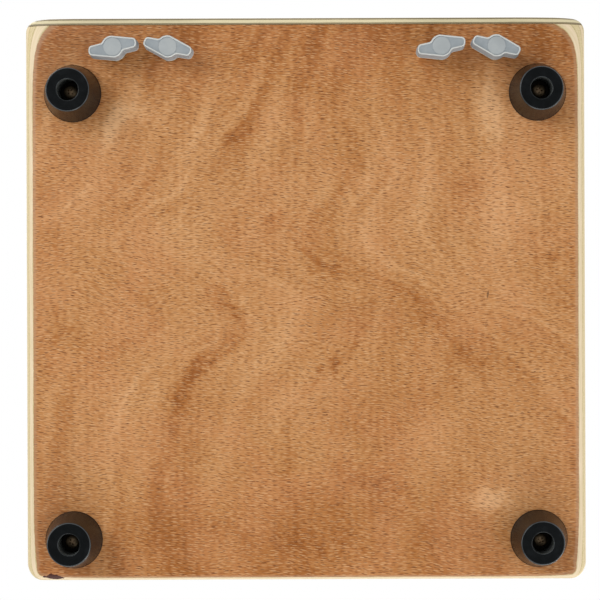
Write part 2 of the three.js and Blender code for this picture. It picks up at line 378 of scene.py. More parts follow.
    def patches(
        self,
        sheet: Sheet,
        plane: bpy.types.NodeSocket,
        patches: Sequence[Patch],
        total: bpy.types.NodeSocket | float,
        operation: str,
    ) -> bpy.types.NodeSocket | float:
        """Adds soft patches to a tone, or takes them from it.

        Args:
            sheet: The sheet to draw on.
            plane: The place on the face in mm.
            patches: The patches.
            total: The tone to start from.
            operation: ADD or SUBTRACT.

        Returns:
            The changed tone.
        """
        for patch in patches:
            mask = self.patch(sheet, plane, patch, 0.95)
            total = sheet.add("Math", {0: total, 1: mask}, operation=operation)
        return total

    def shifted(
        self,
        sheet: Sheet,
        plane: bpy.types.NodeSocket,
        scale: float,
        detail: float,
        reach: tuple[float, float],
    ) -> bpy.types.NodeSocket:
        """Wanders a place on the face about, so that nothing drawn there keeps a clean outline.

        Args:
            sheet: The sheet to draw on.
            plane: The place on the face in mm.
            scale: The wandering's scale per mm.
            detail: Its finer steps.
            reach: How far it goes along and across the fibres in mm.

        Returns:
            The moved place.
        """
        wave = sheet.add(
            "TexNoise",
            {"Vector": plane, "Scale": scale, "Detail": detail, "Roughness": 0.6},
            out="Color",
        )
        centred = sheet.add("VectorMath", {0: wave, 1: (0.5, 0.5, 0.5)}, operation="SUBTRACT")
        span = (2 * reach[0], 2 * reach[1], 0.0)
        return sheet.add("VectorMath", {0: centred, 1: span, 2: plane}, operation="MULTIPLY_ADD")

    def ring_bands(
        self, sheet: Sheet, plane: bpy.types.NodeSocket
    ) -> tuple[bpy.types.NodeSocket, bpy.types.NodeSocket]:
        """Draws the growth rings that a peeled veneer cuts through.

        Args:
            sheet: The sheet to draw on.
            plane: The place on the face in mm.

        Returns:
            The darkness of the thin lines, and the tone of the bands that run beside them.
        """
        figure = self.figure
        moved = self.shifted(sheet, plane, 0.05, 3.0, (9.0, 7.0))
        split = sheet.add("SeparateXYZ", {0: moved}).node.outputs
        share = sheet.add("MapRange", {0: split[1], 1: -figure.across, 2: figure.across})
        courses = []
        for line in figure.lines:
            stops = [
                (0.5 + across / (2 * figure.across), 0.5 + along / (2 * figure.along))
                for across, along in line.course
            ]
            curve = sheet.add("FloatCurve", {"Value": share}, stops=stops)
            courses.append(
                sheet.add(
                    "Math", {0: curve, 1: 2 * figure.along, 2: -figure.along}, operation="MULTIPLY_ADD"
                )
            )
        before = sheet.add("Math", {0: split[0], 1: courses[0]}, operation="SUBTRACT")
        before = sheet.add("Math", {0: before, 1: 0.0}, operation="MINIMUM")
        after = sheet.add("Math", {0: split[0], 1: courses[-1]}, operation="SUBTRACT")
        after = sheet.add("Math", {0: after, 1: 0.0}, operation="MAXIMUM")
        outside = sheet.add("Math", {0: before, 1: after}, operation="ADD")
        number = sheet.add(
            "Math",
            {0: outside, 1: 1 / figure.outer_pitch, 2: figure.lines[0].number},
            operation="MULTIPLY_ADD",
        )
        ink: bpy.types.NodeSocket | float = 0.0
        breaks = sheet.add("TexNoise", {"Vector": plane, "Scale": 0.06, "Detail": 2.0})
        for low, high, start, end in zip(figure.lines, figure.lines[1:], courses, courses[1:]):
            step = sheet.add("MapRange", {0: split[0], 1: start, 2: end, 4: high.number - low.number})
            number = sheet.add("Math", {0: number, 1: step}, operation="ADD")
        for line, course in zip(figure.lines, courses):
            if line.ink > 0:
                off = sheet.add("Math", {0: split[0], 1: course}, operation="SUBTRACT")
                off = sheet.add("Math", {0: off}, operation="ABSOLUTE")
                near = sheet.add(
                    "MapRange",
                    {0: off, 1: 0.0, 2: figure.line_width, 3: line.ink, 4: 0.0},
                    interpolation_type="SMOOTHSTEP",
                )
                shown = sheet.add("MapRange", {0: breaks, 1: 0.36, 2: 0.56, 3: 0.45, 4: 1.0})
                ink = sheet.add("Math", {0: near, 1: shown, 2: ink}, operation="MULTIPLY_ADD")
        # Bands about half a ring wide and long along it, with hairlines where the noise is at its middle.
        crossing = sheet.add("Math", {0: split[1], 1: 1 / 95}, operation="MULTIPLY")
        ring_place = sheet.add("CombineXYZ", {0: number, 1: crossing, 2: self.lay.seed})
        band = sheet.add(
            "TexNoise", {"Vector": ring_place, "Scale": 1.15, "Detail": 3.0, "Roughness": 0.5}
        )
        bands = sheet.add(
            "MapRange", {0: band, 1: 0.28, 2: 0.72, 3: -0.26 * figure.depth, 4: 0.26 * figure.depth}
        )
        hair_place = sheet.add("VectorMath", {0: ring_place, 1: (1.6, 0.6, 1.0)}, operation="MULTIPLY")
        hair = sheet.add("TexNoise", {"Vector": hair_place, "Scale": 1.0, "Detail": 1.0})
        thin = sheet.add("Math", {0: hair, 1: 0.5}, operation="SUBTRACT")
        thin = sheet.add("Math", {0: thin}, operation="ABSOLUTE")
        thin = sheet.add(
            "MapRange",
            {0: thin, 1: 0.0, 2: 0.04, 3: 0.09 * figure.depth, 4: 0.0},
            interpolation_type="SMOOTHSTEP",
        )
        shown = sheet.add("MapRange", {0: breaks, 1: 0.45, 2: 0.65})
        ink = sheet.add("Math", {0: thin, 1: shown, 2: ink}, operation="MULTIPLY_ADD")
        return ink, bands

    def ray_flecks(
        self, sheet: Sheet, grain: bpy.types.NodeSocket, flecks: Flecks
    ) -> bpy.types.NodeSocket:
        """Draws short flecks along the fibres, one in each cell of a loose grid.

        Args:
            sheet: The sheet to draw on.
            grain: The place on the face in mm, bent with the fibres.
            flecks: How they are scattered.

        Returns:
            The strength of the fleck at each place.
        """
        pitch_along, pitch_across = flecks.pitch
        half_along, half_across = flecks.half
        shift = (flecks.shift, flecks.shift * 1.7, 0.0)
        moved = sheet.add("VectorMath", {0: grain, 1: shift}, operation="ADD")
        cell = sheet.add(
            "VectorMath", {0: moved, 1: (1 / pitch_along, 1 / pitch_across, 0.0)}, operation="MULTIPLY"
        )
        scatter = sheet.add(
            "TexVoronoi",
            {"Vector": cell, "Scale": 1.0, "Randomness": 0.75},
            out="Position",
            voronoi_dimensions="2D",
        ).node.outputs
        apart = sheet.add("VectorMath", {0: cell, 1: scatter["Position"]}, operation="SUBTRACT")
        chance = sheet.add("SeparateColor", {0: scatter["Color"]}).node.outputs
        size = sheet.add("MapRange", {0: chance[0], 3: 0.6, 4: 1.35})
        tilt = sheet.add(
            "MapRange", {0: chance[1], 3: -0.05 - self.fleck_tilt, 4: 0.05 - self.fleck_tilt}
        )
        metric = sheet.add(
            "VectorMath",
            {0: apart, 1: (pitch_along / half_along, pitch_across / half_across, 0.0)},
            operation="MULTIPLY",
        )
        gap = sheet.add("SeparateXYZ", {0: metric}).node.outputs
        lean = sheet.add("Math", {0: tilt, 1: half_along / half_across}, operation="MULTIPLY")
        level = sheet.add("Math", {0: gap[0], 1: lean, 2: gap[1]}, operation="MULTIPLY_ADD")
        run = sheet.add("Math", {0: gap[0], 1: size}, operation="DIVIDE")
        pair = sheet.add("CombineXYZ", {0: run, 1: level})
        reach = sheet.add("VectorMath", {0: pair}, out="Value", operation="LENGTH")
        shape = sheet.add(
            "MapRange", {0: reach, 1: 1.25, 2: 0.4}, interpolation_type="SMOOTHSTEP"
        )
        strength = sheet.add(
            "MapRange", {0: chance[2], 1: 1.0 - flecks.share, 2: 1.0, 3: 0.35, 4: 1.0}
        )
        return sheet.add("Math", {0: shape, 1: strength}, operation="MULTIPLY")

    def face_veneer(
        self, sheet: Sheet, plane: bpy.types.NodeSocket
    ) -> tuple[bpy.types.NodeSocket, bpy.types.NodeSocket]:
        """Draws the beech face.

        Args:
            sheet: The sheet to draw on.
            plane: The place on the face in mm.

        Returns:
            Its colour, and its height for the relief.
        """
        ink, bands = self.ring_bands(sheet, plane)
        # Clouds some 30 mm wide, and twice as long along the fibres.
        warped = self.shifted(sheet, plane, 0.055, 4.0, (12.0, 8.0))
        cloud_place = sheet.add("VectorMath", {0: warped, 1: (0.5, 1.0, 1.0)}, operation="MULTIPLY")
        cloud = sheet.add(
            "TexNoise", {"Vector": cloud_place, "Scale": 0.035, "Detail": 5.0, "Roughness": 0.58}
        )
        tone = sheet.add(
            "MapRange",
            {0: cloud, 1: 0.28, 2: 0.72, 3: self.base_tone - 0.06, 4: self.base_tone + 0.06},
        )
        tone = sheet.add("Math", {0: tone, 1: bands}, operation="ADD")
        # Darker and lighter patches: the wood's own tone, with painted shade towards the edges and painted
        # sheen highlights.
        tone = self.patches(sheet, warped, self.dark_tone_and_shade, tone, "SUBTRACT")
        tone = self.patches(sheet, warped, self.pale_figure_and_sheen, tone, "ADD")
        # Brown mottles 3 to 8 mm across, which gather beside the darkest rings.
        gathered = self.patches(sheet, warped, self.mottles, 0.10, "ADD")
        spots = sheet.add("TexNoise", {"Vector": warped, "Scale": 0.14, "Detail": 3.0, "Roughness": 0.55})
        spots = sheet.add(
            "MapRange", {0: spots, 1: 0.40, 2: 0.66, 3: 0.0, 4: 0.42}, interpolation_type="SMOOTHSTEP"
        )
        spots = sheet.add("Math", {0: spots, 1: gathered}, operation="MULTIPLY")
        tone = sheet.add("Math", {0: tone, 1: spots}, operation="SUBTRACT")
        tone = sheet.add("Math", {0: tone, 1: ink}, operation="SUBTRACT")
        # Fibres: streaks about 4 mm long and a millimetre apart, coarser than real ones so that they show.
        grain = self.shifted(sheet, plane, 0.022, 1.0, (0.0, 4.5))
        fibre_place = sheet.add("VectorMath", {0: grain, 1: (0.28, 1.15, 1.0)}, operation="MULTIPLY")
        fibre = sheet.add(
            "TexNoise", {"Vector": fibre_place, "Scale": 1.0, "Detail": 1.0, "Roughness": 0.5}
        )
        fibre_tone = sheet.add("MapRange", {0: fibre, 1: 0.2, 2: 0.8, 3: -0.22, 4: 0.22})
        tone = sheet.add("Math", {0: tone, 1: fibre_tone}, operation="ADD")
        last = len(self.tones) - 1
        colour = sheet.add(
            "ValToRGB", {0: tone}, stops=[(i / last, code) for i, code in enumerate(self.tones)]
        )
        blush = sheet.add(
            "TexNoise",
            {"Vector": warped, "Scale": 0.03, "Detail": 3.0, "Roughness": 0.55},
            out="Color",
        )
        blush_share = sheet.add("SeparateColor", {0: blush}, out=1)
        rosy = sheet.add("MapRange", {0: blush_share, 1: 0.45, 2: 0.65, 3: 0.0, 4: 0.30})
        colour = sheet.add("Mix", {0: rosy, 6: colour, 7: linear(self.rosy)}, out=2, data_type="RGBA")
        for flecks in self.light_flecks:
            share = sheet.add(
                "Math", {0: self.ray_flecks(sheet, grain, flecks), 1: 0.6}, operation="MULTIPLY"
            )
            colour = sheet.add(
                "Mix", {0: share, 6: colour, 7: linear(self.pale_fleck)}, out=2, data_type="RGBA"
            )
        dark: bpy.types.NodeSocket | float = 0.0
        for flecks in self.dark_flecks:
            dark = sheet.add(
                "Math", {0: dark, 1: self.ray_flecks(sheet, grain, flecks)}, operation="MAXIMUM"
            )
        share = sheet.add("Math", {0: dark, 1: self.fleck_depth}, operation="MULTIPLY")
        colour = sheet.add(
            "Mix", {0: share, 6: colour, 7: linear(self.fleck)}, out=2, data_type="RGBA"
        )
        for patch in self.scars:
            mask = self.patch(sheet, plane, patch, 0.6)
            colour = sheet.add(
                "Mix", {0: mask, 6: colour, 7: linear(self.scar)}, out=2, data_type="RGBA"
            )
        height = sheet.add("Math", {0: dark, 1: -0.8, 2: fibre}, operation="MULTIPLY_ADD")
        return colour, height

    def ply_edges(
        self,
        sheet: Sheet,
        along: bpy.types.NodeSocket,
        across: bpy.types.NodeSocket,
        depth: bpy.types.NodeSocket,
    ) -> bpy.types.NodeSocket:
        """Draws the cream layers inside the board.

        Args:
            sheet: The sheet to draw on.
            along: The place along the face's fibres in mm.
            across: The place across them.
            depth: The depth below the outer face in mm.

        Returns:
            Their colour.
        """
        pitch = (self.thick - 2 * self.veneer) / self.plies
        place = sheet.add("CombineXYZ", {0: along, 1: across, 2: depth})
        wobble = sheet.add("TexNoise", {"Vector": place, "Scale": 0.05, "Detail": 2.0})
        wavy = sheet.add("Math", {0: wobble, 1: 0.5, 2: depth}, operation="MULTIPLY_ADD")
        count = sheet.add(
            "Math", {0: wavy, 1: 1 / pitch, 2: -(self.veneer + 0.25) / pitch}, operation="MULTIPLY_ADD"
        )
        number = sheet.add("Math", {0: count}, operation="FLOOR")
        turn = sheet.add("Math", {0: count}, operation="FRACT")
        odd = sheet.add("Math", {0: number, 1: 2.0}, operation="FLOORED_MODULO")
        chance = sheet.add("TexWhiteNoise", {"W": number}, noise_dimensions="1D")
        # Streaks run with each layer's own fibres: long ones, or short open pores where they are cut across.
        long_place = sheet.add("VectorMath", {0: place, 1: (0.06, 0.06, 3.0)}, operation="MULTIPLY")
        long_streak = sheet.add("TexNoise", {"Vector": long_place, "Scale": 1.0, "Detail": 3.0})
        pore_place = sheet.add("VectorMath", {0: place, 1: (1.3, 1.3, 2.2)}, operation="MULTIPLY")
        pores = sheet.add("TexNoise", {"Vector": pore_place, "Scale": 1.0, "Detail": 2.0})
        streak = sheet.add("Mix", {0: odd, 2: long_streak, 3: pores}, data_type="FLOAT")
        share = sheet.add("Math", {0: chance, 1: 0.35}, operation="MULTIPLY")
        share = sheet.add("Math", {0: odd, 1: 0.6, 2: share}, operation="MULTIPLY_ADD")
        streak_share = sheet.add("MapRange", {0: streak, 1: 0.3, 2: 0.7, 3: -0.3, 4: 0.3})
        share = sheet.add("Math", {0: share, 1: streak_share}, operation="ADD", use_clamp=True)
        colour = sheet.add(
            "Mix",
            {0: share, 6: linear(self.pale_ply), 7: linear(self.end_ply)},
            out=2,
            data_type="RGBA",
        )
        centred = sheet.add("Math", {0: turn, 1: 0.5}, operation="SUBTRACT")
        nearness = sheet.add("Math", {0: centred}, operation="ABSOLUTE")
        # A glue line is 0.2 mm to each side of where two layers meet.
        line = sheet.add(
            "MapRange",
            {0: nearness, 1: 0.5 - 0.2 / pitch, 2: 0.5, 3: 0.0, 4: 0.85},
            interpolation_type="SMOOTHSTEP",
        )
        patchy = sheet.add("MapRange", {0: pores, 1: 0.3, 2: 0.6, 3: 0.45, 4: 1.0})
        line = sheet.add("Math", {0: line, 1: patchy}, operation="MULTIPLY")
        return sheet.add("Mix", {0: line, 6: colour, 7: linear(self.glue)}, out=2, data_type="RGBA")


@dataclass(frozen=True)
class PlanedBeech(Finish):
    """Solid beech, planed and left bare: pale pinkish tan with fine long streaks along the fibres."""

    title: str = "planed_solid_beech"
    tones: tuple[str, str, str] = ("a97a4e", "c79a6b", "d6ad80")

    def draw(self, sheet: Sheet) -> dict[str | int, object]:
        """Draws streaks 25 mm long and about a millimetre apart.

        Args:
            sheet: The material's sheet.

        Returns:
            The values and links of the shader's inputs.
        """
        place = sheet.add("TexCoord", out="Object")
        stretched = sheet.add("VectorMath", {0: place, 1: (40.0, 900.0, 900.0)}, operation="MULTIPLY")
        streaks = sheet.add("TexNoise", {"Vector": stretched, "Scale": 1.0, "Detail": 4.0})
        colour = sheet.add("ValToRGB", {0: streaks}, stops=list(zip((0.3, 0.5, 0.72), self.tones)))
        relief = sheet.add("Bump", {"Height": streaks, "Strength": 0.3, "Distance": 0.1 * MM})
        return {"Base Color": colour, "Roughness": 0.62, "Normal": relief, "IOR": 1.5}


# ----------------------------------------------------------------------------------- other finishes


@dataclass(frozen=True)
class MouldedRubber(Finish):
    """Black natural rubber, compression moulded: a deep blue-black, a soft shine and a faint dusting."""

    title: str = "moulded_black_rubber"
    # The feet's places beside the middle of the box in mm, and the radius inside which a recess lies.
    foot_x: float = 124.0
    foot_y: float = 119.0
    middle_y: float = 9.0
    recess: float = 5.95
    skin: tuple[str, str, str] = ("050809", "090c0e", "111517")
    edge_highlight: str = "4e5456"
    dusty: str = "4a4d4c"

    def draw(self, sheet: Sheet) -> dict[str | int, object]:
        """Draws a mould skin with 0.4 mm grain, dusty clouds 6 mm across, a painted highlight on the rims
        and greyed recesses.

        Args:
            sheet: The material's sheet.

        Returns:
            The values and links of the shader's inputs.
        """
        place = sheet.add("TexCoord", out="Object")
        dust = sheet.add("TexNoise", {"Vector": place, "Scale": 170.0, "Detail": 4.0})
        grain = sheet.add("TexNoise", {"Vector": place, "Scale": 2400.0, "Detail": 2.0})
        colour = sheet.add("ValToRGB", {0: dust}, stops=list(zip((0.3, 0.55, 0.8), self.skin)))
        # The mould's sharp rims, within half a millimetre of the foot's end, carry a painted highlight:
        # lighter grey where their edges catch the light, broken up by the dust clouds.
        level = sheet.add("SeparateXYZ", {0: place}, out=2)
        rim = sheet.add(
            "MapRange", {0: level, 1: 0.05 * MM, 2: 0.22 * MM}, interpolation_type="SMOOTHSTEP"
        )
        past = sheet.add(
            "MapRange",
            {0: level, 1: 0.42 * MM, 2: 0.62 * MM, 3: 1.0, 4: 0.0},
            interpolation_type="SMOOTHSTEP",
        )
        edge_glint = sheet.add("Math", {0: rim, 1: past}, operation="MULTIPLY")
        uneven = sheet.add("MapRange", {0: dust, 1: 0.35, 2: 0.6, 3: 0.45, 4: 1.0})
        edge_glint = sheet.add("Math", {0: edge_glint, 1: uneven}, operation="MULTIPLY")
        colour = sheet.add("Mix", {0: edge_glint, 6: colour, 7: linear(self.edge_highlight)}, out=2, data_type="RGBA")
        # Dust settles in the recesses, which lie alike about the box's middle.
        middle = (0.0, self.middle_y * MM, 0.0)
        centred = sheet.add("VectorMath", {0: place, 1: middle}, operation="SUBTRACT")
        folded = sheet.add("VectorMath", {0: centred}, operation="ABSOLUTE")
        hollow = (-self.foot_x * MM, -self.foot_y * MM, 0.0)
        beside = sheet.add(
            "VectorMath", {0: folded, 1: (1.0, 1.0, 0.0), 2: hollow}, operation="MULTIPLY_ADD"
        )
        radius = sheet.add("VectorMath", {0: beside}, out="Value", operation="LENGTH")
        inside = sheet.add("Math", {0: radius, 1: self.recess * MM}, operation="LESS_THAN")
        deep = sheet.add("Math", {0: level, 1: 0.6 * MM}, operation="GREATER_THAN")
        inside = sheet.add("Math", {0: inside, 1: deep}, operation="MULTIPLY")
        colour = sheet.add("Mix", {0: inside, 6: colour, 7: linear(self.dusty)}, out=2, data_type="RGBA")
        roughness = sheet.add("MapRange", {0: dust, 1: 0.3, 2: 0.7, 3: 0.2, 4: 0.27})
        relief = sheet.add("Bump", {"Height": grain, "Strength": 0.25, "Distance": 0.05 * MM})
        return {
            "Base Color": colour,
            "Roughness": roughness,
            "Normal": relief,
            "IOR": 1.52,
            "Specular IOR Level": 0.28,
        }


@dataclass(frozen=True)
class MouldedNylon(Finish):
    """Grey nylon, injection moulded: an even bluish grey with a fine matt spark-eroded skin."""

    title: str = "moulded_grey_nylon"
    # The height of the knob's rim and of its lip in mm, where a painted highlight makes the skin lighter
    # along edges that catch the light.
    rim: float = 5.0
    lip: float = 14.6
    skin: tuple[str, str, str] = ("8a9195", "92999d", "9ba1a3")
    rim_highlight: str = "c6c8c4"

    def draw(self, sheet: Sheet) -> dict[str | int, object]:
        """Draws the 0.3 mm spark texture, flow clouds some 7 mm across and a painted highlight on the rim
        and lip.

        Args:
            sheet: The material's sheet.

        Returns:
            The values and links of the shader's inputs.
        """
        place = sheet.add("TexCoord", out="Object")
        flow = sheet.add("TexNoise", {"Vector": place, "Scale": 140.0, "Detail": 3.0})
        skin = sheet.add("TexNoise", {"Vector": place, "Scale": 3300.0, "Detail": 2.0})
        colour = sheet.add("ValToRGB", {0: flow}, stops=list(zip((0.3, 0.5, 0.7), self.skin)))
        level = sheet.add("SeparateXYZ", {0: place}, out=2)
        # Painted highlight: the rim's edge and the base lip are drawn lighter, where their edges catch the
        # light.
        rim = sheet.add(
            "MapRange",
            {0: level, 1: (self.rim + 0.06) * MM, 2: (self.rim + 0.26) * MM, 3: 1.0, 4: 0.0},
            interpolation_type="SMOOTHSTEP",
        )
        lip = sheet.add(
            "MapRange",
            {0: level, 1: self.lip * MM, 2: (self.lip + 0.3) * MM},
            interpolation_type="SMOOTHSTEP",
        )
        rim_highlight = sheet.add("Math", {0: rim, 1: lip}, operation="MAXIMUM")
        colour = sheet.add("Mix", {0: rim_highlight, 6: colour, 7: linear(self.rim_highlight)}, out=2, data_type="RGBA")
        roughness = sheet.add("MapRange", {0: skin, 1: 0.3, 2: 0.7, 3: 0.42, 4: 0.58})
        relief = sheet.add("Bump", {"Height": skin, "Strength": 0.3, "Distance": 0.04 * MM})
        return {"Base Color": colour, "Roughness": roughness, "Normal": relief, "IOR": 1.53}


@dataclass(frozen=True)
class WorkedMetal(Finish):
    """A metal part: its base colour is what it reflects, and its pattern is what its making left on it."""

    title: str
    dull: str
    bright: str
    rough: tuple[float, float]
    scale: float
    stretch: tuple[float, float, float] = (1.0, 1.0, 1.0)

    def draw(self, sheet: Sheet) -> dict[str | int, object]:
        """Draws the plating's clouds or the tool's lines at the given scale per metre.

        Args:
            sheet: The material's sheet.

        Returns:
            The values and links of the shader's inputs.
        """
        place = sheet.add("TexCoord", out="Object")
        stretched = sheet.add("VectorMath", {0: place, 1: self.stretch}, operation="MULTIPLY")
        marks = sheet.add("TexNoise", {"Vector": stretched, "Scale": self.scale, "Detail": 4.0})
        colour = sheet.add("ValToRGB", {0: marks}, stops=[(0.3, self.dull), (0.7, self.bright)])
        roughness = sheet.add("MapRange", {0: marks, 1: 0.3, 2: 0.7, 3: self.rough[0], 4: self.rough[1]})
        relief = sheet.add("Bump", {"Height": marks, "Strength": 0.2, "Distance": 0.03 * MM})
        return {"Base Color": colour, "Metallic": 1.0, "Roughness": roughness, "Normal": relief}


# Zinc plated steel, barrel plated: a cool light grey with a slightly cloudy shine.
ZINC_PLATED_STEEL = WorkedMetal("zinc_plated_steel", "8d9094", "bcbfc2", (0.25, 0.42), 500.0)
# Steel bronzed in a hot bath: a dark pinkish brown shine, worn lighter on the high places.
BRONZED_STEEL = WorkedMetal("bronzed_steel", "9c6f58", "e0b59c", (0.30, 0.48), 900.0)
# Steel washers, barrel blackened: nearly black, with a faint oily shine.
BLACKENED_STEEL = WorkedMetal("blackened_steel", "141211", "2b2724", (0.32, 0.5), 700.0)
# Free-cutting brass, turned: a yellow shine with fine turning lines.
TURNED_BRASS = WorkedMetal("turned_brass", "8f6c34", "c19a55", (0.28, 0.42), 900.0, (1.0, 1.0, 6.0))
# Drawn string wire: bright, with fine lines along it.
DRAWN_STEEL = WorkedMetal("drawn_steel_wire", "9b9da0", "d2d3d5", (0.2, 0.32), 2000.0, (1.0, 1.0, 0.05))
RUBBER = MouldedRubber()
NYLON = MouldedNylon()
BARE_BEECH = PlanedBeech()


# ---------------------------------------------------------------------------------------- mesh work


def object_from(work: bmesh.types.BMesh, name: str) -> bpy.types.Object:
    """Turns mesh work in mm into an object in metres.

    Args:
        work: The mesh work, which is freed.
        name: The object's name.

    Returns:
        The object, linked to the scene.
    """
    bmesh.ops.remove_doubles(work, verts=work.verts, dist=1e-4)
    bmesh.ops.recalc_face_normals(work, faces=work.faces)
    work.transform(Matrix.Scale(MM, 4))
    mesh = bpy.data.meshes.new(name)
    work.to_mesh(mesh)
    work.free()
    made = bpy.data.objects.new(name, mesh)
    bpy.context.scene.collection.objects.link(made)
    return made


def smooth(piece: bpy.types.Object, angle: float = 32.0) -> None:
    """Shades a piece smooth, with a crisp line wherever two faces meet steeply.

    Args:
        piece: The piece.
        angle: The angle in degrees from which a line stays crisp.
    """
    mesh = piece.data
    mesh.polygons.foreach_set("use_smooth", [True] * len(mesh.polygons))
    mesh.set_sharp_from_angle(angle=math.radians(angle))


def carve(piece: bpy.types.Object, tool: bpy.types.Object, operation: str = "DIFFERENCE") -> None:
    """Cuts a piece with a tool, keeps only what they share, or joins them, and removes the tool.

    Args:
        piece: The piece, whose mesh is replaced.
        tool: The tool.
        operation: DIFFERENCE, INTERSECT or UNION.
    """
    modifier = piece.modifiers.new("carve", "BOOLEAN")
    modifier.operation = operation
    modifier.solver = "EXACT"
    modifier.object = tool
    depsgraph = bpy.context.evaluated_depsgraph_get()
    carved = bpy.data.meshes.new_from_object(piece.evaluated_get(depsgraph))
    piece.modifiers.clear()
    spent = [piece.data, tool.data]
    piece.data = carved
    bpy.data.objects.remove(tool)
    for mesh in spent:
        bpy.data.meshes.remove(mesh)


def dress(
    piece: bpy.types.Object, finish: Finish, body: str, replaced: Sequence[str]
) -> bpy.types.Object:
    """Gives a piece its finish, its body and the nodes that it stands for.

    Args:
        piece: The piece in its place.
        finish: Its finish.
        body: The body that it rides on, or an empty string for a piece that is attached to none.
        replaced: The CAD nodes that it stands for.

    Returns:
        The piece.
    """
    piece.data.materials.clear()
    piece.data.materials.append(finish.material())
    if body:
        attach(piece, body)
    if replaced:
        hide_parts(*replaced)
    LOG.info("%s: %d faces", piece.name, len(piece.data.polygons))
    return piece


def grid_block(cuts: Sequence[Sequence[float]]) -> bmesh.types.BMesh:
    """Builds a closed block whose faces are divided at the given places.

    Args:
        cuts: Rising places along X, Y and Z in mm.

    Returns:
        The mesh work.
    """
    work = bmesh.new()
    known: dict[tuple[int, ...], bmesh.types.BMVert] = {}

    def corner(index: tuple[int, ...]) -> bmesh.types.BMVert:
        """The vertex at a place in the grid, made when first asked for.

        Args:
            index: The place, by its number along each axis.

        Returns:
            The vertex.
        """
        if index not in known:
            known[index] = work.verts.new([cuts[axis][index[axis]] for axis in range(3)])
        return known[index]

    for axis in range(3):
        one, two = (axis + 1) % 3, (axis + 2) % 3
        for end in (0, len(cuts[axis]) - 1):
            for i in range(len(cuts[one]) - 1):
                for j in range(len(cuts[two]) - 1):
                    loop = []
                    for step_one, step_two in ((0, 0), (1, 0), (1, 1), (0, 1)):
                        index = [0, 0, 0]
                        index[axis], index[one], index[two] = end, i + step_one, j + step_two
                        loop.append(corner(tuple(index)))
                    work.faces.new(loop)
    return work


def plain_block(low: Point, high: Point, name: str = "tool") -> bpy.types.Object:
    """A cutting tool with square corners, from its lowest and highest corner in mm."""
    return object_from(grid_block([[low[i], high[i]] for i in range(3)]), name)


def turned(profile: Profile, segments: int = 72) -> bmesh.types.BMesh:
    """Turns a closed profile about Z.

    Args:
        profile: Radius and height of each point in mm.
        segments: Sides of the turned form.

    Returns:
        The mesh work.
    """
    work = bmesh.new()
    rings: list[list[bmesh.types.BMVert]] = []
    for radius, height in profile:
        if radius < 1e-6:
            rings.append([work.verts.new((0.0, 0.0, height))] * segments)
            continue
        angles = [2 * math.pi * i / segments for i in range(segments)]
        rings.append(
            [work.verts.new((radius * math.cos(a), radius * math.sin(a), height)) for a in angles]
        )
    for ring, following in zip(rings, rings[1:] + rings[:1]):
        for i in range(segments):
            j = (i + 1) % segments
            loop = list(dict.fromkeys((ring[i], ring[j], following[j], following[i])))
            if len(loop) > 2:
                work.faces.new(loop)
    return work


def eased(corners: Sequence[tuple[float, float, float]], steps: int = 5) -> Profile:
    """Eases the corners of a profile.

    Args:
        corners: Radius, height, and how far back from the corner its rounding starts.
        steps: Sides of each rounding.

    Returns:
        The profile with its rounded corners.
    """
    made: Profile = []
    for i, (x, y, ease) in enumerate(corners):
        if ease <= 0:
            made.append((x, y))
            continue
        before, here, after = (Vector(corners[k][:2]) for k in (i - 1, i, (i + 1) % len(corners)))
        start = here + (before - here).normalized() * ease
        end = here + (after - here).normalized() * ease
        for step in range(steps + 1):
            t = step / steps
            made.append(tuple(start * (1 - t) ** 2 + here * (2 * t * (1 - t)) + end * t**2))
    return made


def cross_slot(reach: float, width: float, depth: float) -> bmesh.types.BMesh:
    """A cross-slot driver's bit, pointing along +Z from just below z = 0.

    Args:
        reach: Half the span of the cross at its mouth.
        width: The width of a blade.
        depth: How far it goes in.

    Returns:
        The mesh work.
    """
    work = bmesh.new()
    half = width / 2
    rings = []
    mouth = (-depth, reach * 1.18, half * 1.1)
    tip = (depth, reach * 0.45, half * 0.7)
    for height, span, blade in (mouth, tip):
        quarter = [(span, -blade), (span, blade), (blade, blade)]
        ring = []
        for turn in range(4):
            c, s = (1, 0, -1, 0)[turn], (0, 1, 0, -1)[turn]
            ring += [work.verts.new((x * c - y * s, x * s + y * c, height)) for x, y in quarter]
        rings.append(ring)
    low, high = rings
    for i in range(len(low)):
        j = (i + 1) % len(low)
        work.faces.new((low[i], low[j], high[j], high[i]))
    work.faces.new(low)
    work.faces.new(high)
    return work


# ----------------------------------------------------------------------------------- the wooden box


def ease_cuts(low: float, high: float, near: Sequence[float], coarse: int) -> list[float]:
    """Places along a side, close together near its ends.

    Args:
        low: The low end.
        high: The high end.
        near: Distances from each end.
        coarse: Even steps over what is left.

    Returns:
        The places in rising order.
    """
    start, stop = low + near[-1], high - near[-1]
    middle = [start + (stop - start) * i / coarse for i in range(1, coarse)]
    return [low + d for d in near] + middle + [high - d for d in reversed(near)]


# Distances from an edge in mm that follow a sanded rounding of about 7 mm closely, then open out.
ROUND_CUTS = (0, 0.35, 0.8, 1.35, 2.0, 2.7, 3.5, 4.3, 5.2, 6.1, 7.0)
DIP_CUTS = (8.0, 9.1, 10.4, 11.9, 13.6, 15.5, 17.6, 20.0, 23.0, 27.0, 32.0, 38.0, 46.0)


@dataclass(frozen=True)
class SoundHole:
    """The round hole in the back board, with its eased rim."""

    radius: float = 59.0
    height: float = 310.0
    ease: float = 1.1


